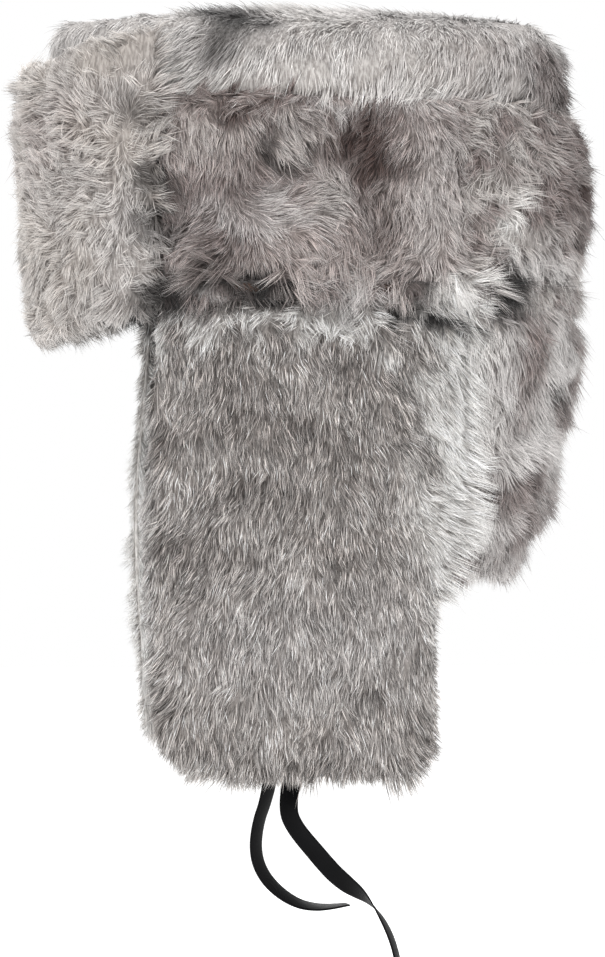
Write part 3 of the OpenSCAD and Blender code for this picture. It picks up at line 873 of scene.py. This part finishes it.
shades = {"pale": ink("#faf8f5"), "light": ink("#dcd8d5"), "silver": ink("#cecac8"), "mid": ink("#bab4b0"),
          "taupe": ink("#afa4a0"), "mauve": ink("#8a7e7b"), "brown": ink("#4b3b37"), "dark": ink("#35302e"),
          "black": ink("#1c1918"), "beige": ink("#c3bcb6"), "agouti": ink("#bdb7b3"),
          "agoutiDark": ink("#827b77")}

# what a pelt has unless it says otherwise: hairs to a square millimetre, lengths and widths in millimetres,
# lift and droop in degrees, and shares; a wrapped pelt goes round the lining's edge
fur = {"comb": combDown, "body": "crown", "replaces": [], "wrap": False, "wrapped": None, "waves": 0.0,
       "flows": [], "stands": [], "ruffles": [], "rims": {}, "fringe": None, "swirl": 0.5, "grain": 16,
       "density": 1.5, "under": 0.8, "skin": 0.03, "rootDepth": 0.04, "wrapReach": 5.0,
       "length": 9.0, "longest": 24.0, "lengthSpread": 0.22, "lockSpread": 0.13, "rimSpread": 0.25,
       "width": 0.27, "widthSpread": 0.25, "lift": 44.0, "droop": 12.0, "liftSpread": 9.0,
       "guards": 0.08, "guardLonger": 1.2, "guardThin": 0.75, "guardDroop": 12,
       "tuft": 4.5, "lock": 13.0, "tuftPull": 0.26, "lockPull": 0.12, "pullSpread": (0.5, 1.3),
       "pullShape": 1.4, "pullJitter": 0.16, "turn": 0.3, "strayTurn": 0.16, "rimDensity": 12.0,
       "turned": 0.4, "turnedLonger": 1.7, "perPiece": 19000, "mottle": 0.42, "secondShare": 0.42,
       "lumps": 0.05, "toneSpread": 0.22, "tuftTone": 0.1, "darkShare": 0.08, "darker": 0.85,
       "ticking": (0.35, 0.28), "soft": 0.7, "rimSoft": 0.6}

# patches: middle y and z, half sizes, shade, strength and, where one stops short, middle x and half size
# flows: middle, half sizes, and the way of the hair in y and z; rims: the free edges and their hairs' length
# stands: middle, half sizes, and how much steeper and longer the hair is; ruffles: how much more it turns
# painted shade: the black and dark seam patches are the shadow pockets under the crown's hanging tufts; the
# silver and pale ones are the fur's own colour
seamShadeAndTone = [(-62, -1, 8, 9, "black", 1.0), (-36, 2, 30, 4, "dark", 0.8), (-24, 2, 8, 8, "black", 0.95),
               (36, -11, 9, 6, "black", 1.0), (53, -15, 8, 6, "black", 1.0), (83, 0, 10, 9, "black", 1.0),
               (-42, -8, 17, 4, "silver", 0.7), (14, -6, 10, 6, "silver", 0.8), (62, -3, 12, 6, "pale", 0.9)]
# painted shade: on the crown's lower edge the black and dark patches are shadow pockets at the seam; the pale
# and silver ones are the fur's own colour
crownSeamShadeAndTone = [(-60, 2, 9, 8, "black", 1.0), (-42, 7, 12, 4, "dark", 0.6), (-24, 4, 9, 6, "black", 0.95),
             (83, 4, 10, 8, "black", 0.95), (62, 2, 12, 5, "pale", 0.8), (20, 4, 10, 4, "silver", 0.7)]
seamFlows = [(-46, 6, 14, 12, -0.7, -0.6), (-8, 6, 14, 12, 0.7, -0.6), (30, 6, 14, 12, -0.5, -0.8),
             (66, 6, 16, 14, 0.8, -0.5)]
pelts = {
    "crown_top": {
        "place": topPlace, "wrap": True, "comb": combTop, "swirl": 0.18, "grain": 70,
        "replaces": ["crown_top_fur"], "slot": "top_pelt", "base": "silver", "second": "light",
        "patches": [(-36, 113, 17, 16, "black", 1.0, 64, 40), (20, 106, 60, 7, "mid", 0.3),
                    (70, 100, 18, 14, "taupe", 0.4), (-43, 92, 24, 7, "light", 0.9),
                    (-7, 90, 52, 9, "light", 0.8), (112, 96, 20, 18, "mauve", 0.9),
                    (122, 84, 12, 14, "brown", 0.7)],
        "flows": [(-40, 90, 34, 12, -0.3, -1.0)],
        "stands": [(118, 96, 22, 20, 14, 3), (-92, 118, 34, 12, -14, -4), (94, 121, 30, 8, -10, -3),
                   (0, 122, 50, 8, 8, 1.5)],
        "rims": {"b0": 8.0}, "rimSpread": 0.2, "fringe": (16.0, 5.0), "length": 10.0, "lift": 30.0,
        "droop": 5.0, "lumps": 0.03, "turn": 0.12, "tuftPull": 0.18, "liftSpread": 5.0, "guards": 0.03,
        "density": 1.05, "width": 0.3},
    "crown_left": {
        "place": wallPlace(hat["sideFront"], hat["sideRear"]), "swirl": 0.4, "grain": 50,
        "replaces": ["crown_left_fur"], "slot": "side_pelt", "base": "taupe", "second": "mauve",
        "patches": [(-13, 59, 21, 5, "dark", 1.0), (23, 59, 17, 21, "brown", 1.0),
                    (28, 24, 10, 14, "brown", 0.6), (-34, 78, 24, 4, "brown", 0.9),
                    (10, 79, 44, 4, "brown", 0.6), (-18, 68, 22, 5, "mid", 0.7),
                    (-22, 32, 30, 9, "silver", 0.6), (4, 40, 9, 12, "mid", 0.7),
                    # painted shade: the two dark patches at y -62 are shadow pockets where the front flap
                    # meets the side
                    (52, 42, 16, 32, "silver", 0.45), (-62, 47, 7, 6, "dark", 0.7),
                    (-61, 26, 7, 8, "dark", 0.7), (-50, 66, 10, 8, "mid", 0.6),
                    (6, 81, 10, 4, "silver", 0.7), (44, 81, 14, 4, "silver", 0.6), *crownSeamShadeAndTone],
        "flows": [(-17, 68, 24, 10, 0.8, -0.5), (-12, 38, 26, 17, 0.9, -0.25), (-50, 22, 14, 20, -0.6, -0.7),
                  (22, 58, 14, 22, -0.5, -0.8), (24, 20, 18, 14, 0.7, -0.6), *seamFlows],
        "ruffles": [(-40, 84, 40, 7, 1.3), (0, 4, 75, 10, 0.55)], "stands": [(-40, 84, 40, 5, 16, 3)],
        "rims": {"b0": 8.0, "b1": 5.0, "a1": 9.0}, "rimSpread": 0.55, "fringe": (20.0, 9.0),
        "length": 8.5, "density": 1.8, "width": 0.25, "toneSpread": 0.3, "darkShare": 0.15},
    "crown_back": {
        "place": wallPlace(hat["sideRear"] + hat["slice"] / 2), "swirl": 0.6, "grain": 20,
        "replaces": ["crown_back_fur"], "slot": "back_pelt", "base": "mid", "second": "mauve",
        "patches": [(117, 56, 18, 42, "mauve", 0.85), (121, 60, 11, 36, "brown", 0.6),
                    (124, 70, 8, 9, "brown", 0.9), (122, 47, 7, 7, "brown", 0.8),
                    (118, 59, 4, 5, "dark", 0.8), (126, 22, 7, 7, "brown", 0.8),
                    (84, 31, 5, 14, "pale", 0.7), (100, 14, 14, 13, "silver", 0.9), *crownSeamShadeAndTone],
        "flows": seamFlows, "stands": [(118, 70, 22, 34, 12, 2.5)],
        "rims": {"b0": 9.0, "a0": 9.0, "a1": 9.0}, "rimSpread": 0.4, "fringe": (18.0, 6.0),
        "length": 9.5, "lift": 50.0, "turn": 0.75, "density": 1.2, "width": 0.29},
    # the fold's fur is mauve mottled with dark; the dark is painted shade for the crease between crown and
    # flap
    "left_fold": {
        "place": foldPlace(-64, 60), "slot": "side_pelt", "base": "mauve", "second": "dark",
        "patches": seamShadeAndTone, "length": 6.5, "lift": 20.0, "droop": -6.0, "density": 2.2},
    "neck_fold": {
        "place": foldPlace(64), "slot": "back_pelt", "base": "mid", "second": "mauve",
        "patches": seamShadeAndTone, "length": 11.0, "lift": 40.0, "droop": 8.0, "density": 2.0},
    "left_ear": {
        "place": earPlace, "comb": combEar, "swirl": 0.16, "grain": 30, "body": "left_ear_flap",
        "replaces": ["left_ear_fur"], "slot": "flap_pelt", "base": "agouti", "second": "agoutiDark",
        "patches": [(-15, -45, 70, 40, "agoutiDark", 0.35), (0, -150, 60, 26, "silver", 0.5),
                    # painted shade: the thin agoutiDark bands at z -60, -86 and -125 stand for the shade in
                    # the breaks between the fur's waves
                    (-5, -60, 60, 4, "agoutiDark", 0.5), (-5, -86, 60, 4, "agoutiDark", 0.5),
                    (-5, -125, 60, 6, "agoutiDark", 0.3), (63, -72, 18, 72, "pale", 1.0),
                    # painted light: the silver strip at y -72 lightens the flap's front edge, which lies in
                    # shade
                    (-72, -110, 4, 90, "silver", 0.7), (-10, -13, 80, 6, "pale", 0.85), *seamShadeAndTone],
        "flows": [(60, -96, 18, 24, 1.0, -0.5)], "stands": [(0, -12, 80, 8, 24, 3)],
        "ruffles": [(0, -10, 80, 10, 0.7)], "wrapped": -0.6, "waves": 0.06,
        "rims": {"a0": (2.5, 4.0), "a1": (20.0, 6.0), "b0": 7.0, "b1": 6.5}, "rimSpread": 0.5,
        "length": 7.5, "lift": 42.0, "droop": 10.0, "tuftPull": 0.2, "turn": 0.2, "mottle": 0.15,
        "toneSpread": 0.55, "tuftTone": 0.22, "darkShare": 0.38, "lumps": 0.03},
    "neck": {
        "place": neckPlace, "grain": 34, "body": "neck_flap",
        "replaces": ["neck_fur"], "slot": "flap_pelt", "base": "silver", "second": "mauve",
        "patches": [(62, -50, 13, 52, "pale", 0.9), (74, -22, 13, 12, "light", 0.7),
                    (75, -58, 16, 10, "light", 0.7), (70, -84, 15, 9, "light", 0.6),
                    (108, -42, 6, 8, "dark", 0.8), (96, -86, 22, 3.5, "dark", 0.6),
                    (100, -104, 22, 18, "mauve", 0.7), *seamShadeAndTone],
        "stands": [(112, -86, 16, 20, 14, 5), (126, -14, 14, 16, 14, 4)],
        "rims": {"a0": 8.0, "a1": 8.0, "b1": 7.0}, "length": 10.0, "mottle": 0.3, "density": 1.15,
        "width": 0.29},
    "front": {
        "place": frontPlace, "comb": combFront, "swirl": 0.6, "grain": 36, "body": "front_flap",
        "replaces": ["front_fur"], "slot": "front_pelt", "base": "beige", "second": "mid",
        "patches": [(-112, 66, 18, 16, "taupe", 0.7), (-82, 20, 14, 34, "silver", 0.6),
                    # painted shade: the dark and black patches at y -70 to -76 are the shadow where the
                    # flap's rear edge meets the crown and, lowest, the ear flap
                    (-76, 75, 8, 6, "dark", 0.5), (-70, 47, 9, 7, "dark", 0.85), (-70, 30, 9, 8, "dark", 0.8),
                    (-70, -4, 9, 9, "black", 0.9), (-100, -16, 20, 6, "mid", 0.6)],
        "flows": [(-70, 45, 14, 60, 0.7, -0.55), (-88, 98, 30, 20, -0.25, 1.0),
                  (-92, -14, 24, 12, 0.1, -1.0)],
        "stands": [(-92, -14, 24, 9, 0, 7)], "rims": {"a0": 11.0, "a1": 11.0}, "length": 7.5,
        "turn": 0.75, "density": 1.2, "width": 0.29},
}
for side, source in (("crown_right", "crown_left"), ("right_fold", "left_fold"), ("right_ear", "left_ear")):
    pelts[side] = dict(pelts[source], place=mirrored(pelts[source]["place"]))
pelts["crown_right"].update(replaces=["crown_right_fur"], density=1.3, width=0.3)
# painted light: the pale patch at y -68 brightens the far flap's front edge, which lies in shade
pelts["right_ear"].update(body="right_ear_flap", replaces=["right_ear_fur"],
                          patches=pelts["left_ear"]["patches"] + [(-68, -110, 14, 90, "pale", 1.0)],
                          rims=dict(pelts["left_ear"]["rims"], a0=5.0), rimSoft=0.0, rimSpread=0.25,
                          rimDensity=26.0, density=1.1, width=0.32)


def paint(pelt, p, seed):
    base, second = shades[pelt["base"]], shades[pelt["second"]]
    share = smooth(pelt["secondShare"] + pelt["mottle"] * field(p, pelt["grain"], seed))
    colour = base + (second - base) * share[:, None]
    warp, drift = field(p, 22, seed + 1) * 4, field(p, 22, seed + 2) * 4
    for y, z, halfY, halfZ, shade, strength, *across in pelt["patches"]:
        # small patches keep to their place and have a sharper edge
        steady = min(1, halfY / 18)
        away = ((p[:, 1] + warp * steady - y) / halfY) ** 2
        away = away + ((p[:, 2] + drift * steady - z) / halfZ) ** 2
        if across:
            away = away + ((p[:, 0] - across[0]) / across[1]) ** 2
        part = strength * np.exp(-away ** lerp(2.4, 1.3, steady))
        colour = colour + (shades[shade] - colour) * part[:, None]
    return colour


def near(p, y, z, halfY, halfZ):
    return np.exp(-(((p[:, 1] - y) / halfY) ** 2 + ((p[:, 2] - z) / halfZ) ** 2) ** 1.3)


def combed(pelt, p):
    comb = pelt["comb"](p)
    for *spot, wayY, wayZ in pelt["flows"]:
        comb = comb + (np.array([0, wayY, wayZ]) - comb) * near(p, *spot)[:, None]
    return comb


def underShare(pelt, p, seed):
    # the undercoat's height, with soft lumps and, on the ear flaps, waves across the flap
    waves = np.sin((p[:, 2] + 5 * field(p, 60, seed + 6)) * 2 * np.pi / 29)
    return pelt["under"] + (pelt["lumps"] * field(p, 26, seed + 5) + pelt["waves"] * waves)


def nearestSpot(p, size, seed):
    # the tuft that each point belongs to: the nearest of jittered spots, one in each cell
    cell = np.floor(p / size).astype(int)
    best = np.full(len(p), 1e18)
    owner = np.zeros(len(p), np.int64)
    for shift in np.ndindex(3, 3, 3):
        beside = cell + np.array(shift) - 1
        code = (beside[:, 0] * 73856093 ^ beside[:, 1] * 19349663 ^ beside[:, 2] * 83492791) + seed * 7919
        jitter = xyz(*[np.modf(np.abs(np.sin(code * k)) * 43758.5453)[0] for k in (0.017, 0.029, 0.041)])
        gap = ((p - (beside + jitter) * size) ** 2).sum(axis=1)
        better = gap < best
        best = np.where(better, gap, best)
        owner = np.where(better, code, owner)
    return np.unique(owner, return_inverse=True)[1]


def meanOf(values, owner):
    count = np.bincount(owner)
    return xyz(*[np.bincount(owner, values[:, k]) / count for k in range(3)])


def scatter(place, density, rng):
    # spots over the pelt in proportion to its area
    rows, cols = 160, 80
    a, b = grid(rows + 1, cols + 1)
    points = place(a, b, 0.9)
    cross = np.cross(points[1:, 1:] - points[:-1, :-1], points[1:, :-1] - points[:-1, 1:])
    area = norm(cross) / 2
    count = int(area.sum() * density)
    pick = rng.choice(area.size, count, p=(area / area.sum()).ravel())
    i, j = np.divmod(pick, cols)
    return (i + rng.random(count)) / rows, (j + rng.random(count)) / cols


def slope(place, a, b, h, axis):
    step = 0.004
    up, down = [a, b, h], [a, b, h]
    up[axis] = np.clip(up[axis] + step, 0, 1) if axis < 2 else up[axis] + step
    down[axis] = np.clip(down[axis] - step, 0, 1) if axis < 2 else down[axis] - step
    return unit(place(*up) - place(*down))


def rimSpots(pelt, rng):
    # spots on the pelt's free edges, the way out there, and the hairs' length
    place, hung = pelt["place"], pelt["body"] in folds
    foot = -0.3 if hung else 0
    spots, ways, lengths = [], [], []
    for rim, length in pelt["rims"].items():
        axis, end = "ab".index(rim[0]), float(rim[1])
        s = np.linspace(0, 1, 200)
        fixed = np.full(200, end)
        line = place(fixed, s, 0.3) if axis == 0 else place(s, fixed, 0.3)
        step = steps(line)
        count = int(step.sum() * pelt["rimDensity"])
        k = rng.choice(199, count, p=step / step.sum())
        s = (k + rng.random(count)) / 199
        fixed = np.full(count, end)
        a, b = (fixed, s) if axis == 0 else (s, fixed)
        h = lerp(0.85, foot, rng.random(count) ** 2)
        # some hairs turn over the edge on to the lining
        turned = (rng.random(count) < pelt["turned"]) & hung
        h = np.where(turned, foot, h)
        outward = slope(place, a, b, h, axis) * (2 * end - 1)
        rise = slope(place, a, b, h, 2)
        out = unit(np.cross(slope(place, a, b, h, 1 - axis), rise))
        out = out * np.sign(dot(out, outward) + 1e-9)
        spots.append(np.stack([a, b, h]))
        ways.append(np.where(turned[:, None], unit(-0.8 * out - 0.6 * rise), out))
        longer = np.where(turned, pelt["turnedLonger"], 1)
        lengths.append(np.interp(s, [0.5, 0.68], np.broadcast_to(length, 2)) * longer)
    return np.concatenate(spots, axis=1), np.concatenate(ways), np.concatenate(lengths)


def hairMap(count):
    # each hair's own field of the map: its three sides below, its tip above, its root end at the foot
    fields = []
    for k in range(3):
        fields += [(k / 3, 0.1), ((k + 1) / 3, 0.1), ((k + 1) / 3, 0.6), (k / 3, 0.6)]
    for k in range(3):
        fields += [(k / 3, 0.6), ((k + 1) / 3, 0.6), ((k + 0.5) / 3, 1)]
    fields += [(0.1, 0), (0.5, 0), (0.3, 0.08)]
    cells = math.ceil(math.sqrt(count))
    corners = np.stack(np.divmod(np.arange(count), cells), axis=-1)[:, None]
    return ((corners + 0.1 + 0.8 * np.array(fields)) / cells).astype(np.float32)


def makeHair(name, line, out, soft, width, coat, ticking):
    # closed three-sided hairs along their middle lines, which have a root, a bend and a tip
    count = len(line)
    ahead = unit(np.gradient(line, axis=1))
    rng = np.random.default_rng(len(name) * 101 + count)
    side = unit(np.cross(ahead, unit(rng.normal(size=(count, 1, 3)))))
    other = np.cross(ahead, side)
    turn = np.radians([90, 210, 330])
    ring = side[:, :2, None] * np.cos(turn)[:, None] + other[:, :2, None] * np.sin(turn)[:, None]
    # the light falls on each hair partly as it falls on the pelt below it
    facing = np.concatenate([ring.reshape(count, 6, 3), ahead[:, 2:]], axis=1)
    facing = unit(lerp(facing, out[:, None], soft[:, None, None]))
    ring = line[:, :2, None] + ring * (width[:, None] * np.array([0.85, 1.0]))[:, :, None, None] / 2
    points = np.concatenate([ring.reshape(count, 6, 3), line[:, 2:]], axis=1)
    quads = [(k, (k + 1) % 3, (k + 1) % 3 + 3, k + 3) for k in range(3)]
    tips = [(k + 3, (k + 1) % 3 + 3, 6) for k in range(3)] + [(2, 1, 0)]
    corner = np.array([v for face in quads + tips for v in face])
    sizes = np.array([4] * len(quads) + [3] * len(tips))
    loops = (np.arange(count)[:, None] * 7 + corner).ravel()
    starts = np.concatenate([[0], np.cumsum(np.tile(sizes, count))[:-1]])
    mesh = bpy.data.meshes.new(name)
    mesh.vertices.add(count * 7)
    mesh.vertices.foreach_set("co", (points * mm).astype(np.float32).ravel())
    mesh.loops.add(len(loops))
    mesh.loops.foreach_set("vertex_index", loops.astype(np.int32))
    mesh.polygons.add(len(starts))
    mesh.polygons.foreach_set("loop_start", starts.astype(np.int32))
    mesh.update(calc_edges=True)
    mesh.normals_split_custom_set_from_vertices(facing.reshape(-1, 3).tolist())
    mesh.uv_layers.new(name="OFBake").uv.foreach_set("vector", hairMap(count).ravel())
    mesh.materials.append(materials["hair"])
    made = addObject(name, mesh)
    setValues(made, "along", "FLOAT", np.tile([0, 0, 0, 0.5, 0.5, 0.5, 1], count))
    setValues(made, "coat", "FLOAT_VECTOR", np.repeat(coat, 7, axis=0))
    setValues(made, "ticking", "FLOAT", np.repeat(ticking, 7))
    return made


def makeSkin(name, pelt, seed):
    # the skin with its undercoat
    place, wrap = pelt["place"], pelt["wrap"]
    a, b = grid(120, 70, wrap)
    share = underShare(pelt, place(a, b, 0.6).reshape(-1, 3), seed).reshape(a.shape)
    back = np.full(a.shape, pelt["skin"])
    if pelt["wrapped"]:
        edge = np.minimum(fromEnds(a) * ear["wide"], (1 - b) * ear["length"])
        back = lerp(pelt["wrapped"], back, smooth(edge / pelt["wrapReach"]))
    made = makeSlab(name + "_pelt", place(a, b, back), place(a, b, share), materials["undercoat"], wrap, wrap)
    skin = np.empty(len(made.data.vertices) * 3)
    made.data.vertices.foreach_get("co", skin)
    setValues(made, "coat", "FLOAT_VECTOR", paint(pelt, skin.reshape(-1, 3) / mm, seed))
    settle(made, pelt["body"], pelt["slot"], *pelt["replaces"])


def hairRoots(pelt, seed, rng):
    # spots over the pelt and along its free edges, with the way out there and the hairs' length
    place = pelt["place"]
    a, b = scatter(place, pelt["density"], rng)
    h = underShare(pelt, place(a, b, 0.6), seed) - pelt["rootDepth"]
    way = np.zeros((len(a), 3))
    length = np.full(len(a), pelt["length"])
    if pelt["fringe"]:
        wide, longer = pelt["fringe"]
        away = norm(place(a, b, 0.9) - place(a, 0 * b, 0.9))
        length = length + longer * smooth(1 - away / wide)
    spot = np.stack([a, b, h])
    if pelt["rims"]:
        rimSpot, rimWay, rimLength = rimSpots(pelt, rng)
        spot = np.concatenate([spot, rimSpot], axis=1)
        way = np.concatenate([way, rimWay])
        length = np.append(length, rimLength)
    return spot, way, length


def hairComb(pelt, root, out, way, tufts, seed, rng):
    # the way each hair lies on the pelt, with a turn of its tuft's own
    onRim = norm(way)[:, None] > 0.5
    comb = unit(combed(pelt, root))
    comb = np.where(onRim, comb * 1.2 + way * 0.8, comb)
    comb = unit(comb - out * dot(comb, out))
    angle = pelt["swirl"] * field(root, pelt["grain"], seed + 3)
    angle = angle + rng.normal(0, pelt["strayTurn"], len(root))
    turn = pelt["turn"] + sum(more * near(root, *spot) for *spot, more in pelt["ruffles"])
    angle = (angle + turn * rng.normal(0, 1, tufts.max() + 1)[tufts])[:, None]
    return comb * np.cos(angle) + np.cross(out, comb) * np.sin(angle)


def hairCoat(pelt, root, tufts, seed, rng):
    # salt and pepper: each hair has its own tone, and each tuft a little of its own
    count = len(root)
    coat = paint(pelt, root, seed)
    tone = rng.normal(0, pelt["toneSpread"], count)
    tone = tone + rng.normal(0, pelt["tuftTone"], tufts.max() + 1)[tufts]
    tone = np.where(rng.random(count) < pelt["darkShare"], tone - pelt["darker"], tone)
    tone = tone * np.clip(1.3 - coat.mean(axis=1), 0.3, 1)
    coat = np.clip(coat * np.exp(tone)[:, None], 0.01, 0.94)
    ticking = np.clip(rng.normal(*pelt["ticking"], count), 0, 1) * np.clip(coat.mean(axis=1) * 2.5, 0.1, 1)
    return coat, ticking


def makePelt(name, pelt, seed):
    rng = np.random.default_rng(seed)
    place = pelt["place"]
    makeSkin(name, pelt, seed)
    spot, way, length = hairRoots(pelt, seed, rng)
    root = place(*spot)
    count = len(root)
    out = slope(place, *spot, 2)
    if pelt["wrap"]:
        flat = unit(np.cross(slope(place, *spot, 0), slope(place, *spot, 1)))
        out = flat * np.sign(dot(flat, out))
    tufts, locks = nearestSpot(root, pelt["tuft"], seed), nearestSpot(root, pelt["lock"], seed)
    comb = hairComb(pelt, root, out, way, tufts, seed, rng)
    # each lock has a length of its own, and the guard hairs are longer
    onRim = norm(way) > 0.5
    spread = np.where(onRim | (length > pelt["length"] + 2), pelt["rimSpread"], pelt["lockSpread"])
    length = length * np.exp(rng.normal(0, 1, locks.max() + 1)[locks] * spread)
    guard = rng.random(count) < pelt["guards"]
    length = length * np.exp(rng.normal(0, pelt["lengthSpread"], count))
    length = np.minimum(length * np.where(guard, pelt["guardLonger"], 1), pelt["longest"])
    raised = np.zeros(count)
    for *middle, steeper, longer in pelt["stands"]:
        part = near(root, *middle)
        raised = raised + steeper * part
        length = length + longer * part
    # each hair leaves at the lift and bends over to the droop
    sway = rng.normal(0, 1, count) + field(root, 18, seed + 4)
    lift = np.radians(pelt["lift"] + raised + pelt["liftSpread"] * sway)[:, None]
    droop = pelt["droop"] + raised + pelt["liftSpread"] * rng.normal(0, 1, count)
    droop = np.radians(droop + np.where(guard, pelt["guardDroop"], 0))[:, None]
    rise = np.where(dot(way, out) < -0.5, -0.6, 1) * out
    first = unit(rise * np.sin(lift) + comb * np.cos(lift) + way * 0.3)
    last = unit(rise * np.sin(droop) + comb * np.cos(droop) + way * 0.15)
    s = np.array([0, 0.5, 1])[None, :, None]
    bent = first[:, None] * (s - s * s / 2) + last[:, None] * s * s / 2
    line = root[:, None] + length[:, None, None] * bent
    # tips gather in tufts, and tufts in locks
    for owner, kind in ((tufts, "tuft"), (locks, "lock")):
        target = meanOf(line[:, 2], owner)
        target = target + rng.normal(0, pelt[kind] * pelt["pullJitter"], target.shape)
        draw = (pelt[kind + "Pull"] * rng.uniform(*pelt["pullSpread"], count))[:, None, None]
        line = line + draw * s ** pelt["pullShape"] * (target[owner] - line[:, 2])[:, None]
    coat, ticking = hairCoat(pelt, root, tufts, seed, rng)
    width = pelt["width"] * rng.uniform(1 - pelt["widthSpread"], 1 + pelt["widthSpread"], count)
    width = width * np.where(guard, pelt["guardThin"], 1)
    soft = np.where(onRim, pelt["rimSoft"], pelt["soft"])
    groups = np.array_split(np.argsort(spot[1], kind="stable"), math.ceil(count / pelt["perPiece"]))
    for k, part in enumerate(groups):
        values = (each[part] for each in (line, out, soft, width, coat, ticking))
        settle(makeHair(f"{name}_hair_{k + 1}", *values), pelt["body"], pelt["slot"])
    print("pelt", name, count, "hairs in", len(groups), "pieces")


for number, (name, pelt) in enumerate(pelts.items()):
    makePelt(name, dict(fur, **pelt), 1000 + 100 * number)


# floor, light and background
stage = {"floor": -0.45, "size": 12.0, "glow": 0.55, "ambient": 0.7, "dark": (0.86, 0.86, 0.86, 1),
         "light": (0.9, 0.9, 0.9, 1)}


def makeStage():
    half, z = stage["size"] / 2, stage["floor"]
    mesh = bpy.data.meshes.new("floor")
    corners = [(-half, -half, z), (half, -half, z), (half, half, z), (-half, half, z)]
    mesh.from_pydata(corners, [], [(0, 1, 2, 3)])
    shade = newShade("paleFloor", Roughness=0.9, Specular_IOR_Level=0.0, Emission_Color=(1, 1, 1, 1),
                     Emission_Strength=stage["glow"])
    cloud = shade.noise(3.0, detail=2.0)
    mesh.materials.append(shade.finish(Base_Color=shade.mix(cloud, stage["dark"], stage["light"])))
    addObject("floor", mesh)
    # white where it is seen or mirrored, and a soft even light elsewhere
    scene.world = bpy.data.worlds.new("studio")
    shade = Shade(scene.world, "ShaderNodeBackground", "ShaderNodeOutputWorld", Color=(1, 1, 1, 1))
    ray = shade.node("ShaderNodeLightPath", out="Is Camera Ray")
    seen = ray + ray.other("Is Glossy Ray") + ray.other("Is Transmission Ray")
    shade.finish(Strength=stage["ambient"] + (1 - stage["ambient"]) * seen)


# each lamp's place, size and power
lamps = {"key": ((1.3, -0.9, 1.2), 1.0, 20.0), "fill": ((1.3, 1.2, 0.3), 1.2, 8.0),
         "top": ((0.0, 0.1, 1.6), 1.4, 14.0), "far": ((-1.4, -0.3, 0.7), 1.2, 15.0)}


def makeLamp(name, place, size, power):
    data = bpy.data.lights.new(name, "AREA")
    data.size = size
    data.energy = power
    aimAt(addObject(name, data), place, viewpoint["target"])


makeStage()
for name, (place, size, power) in lamps.items():
    makeLamp(name, place, size, power)
print("stage and lamps made")
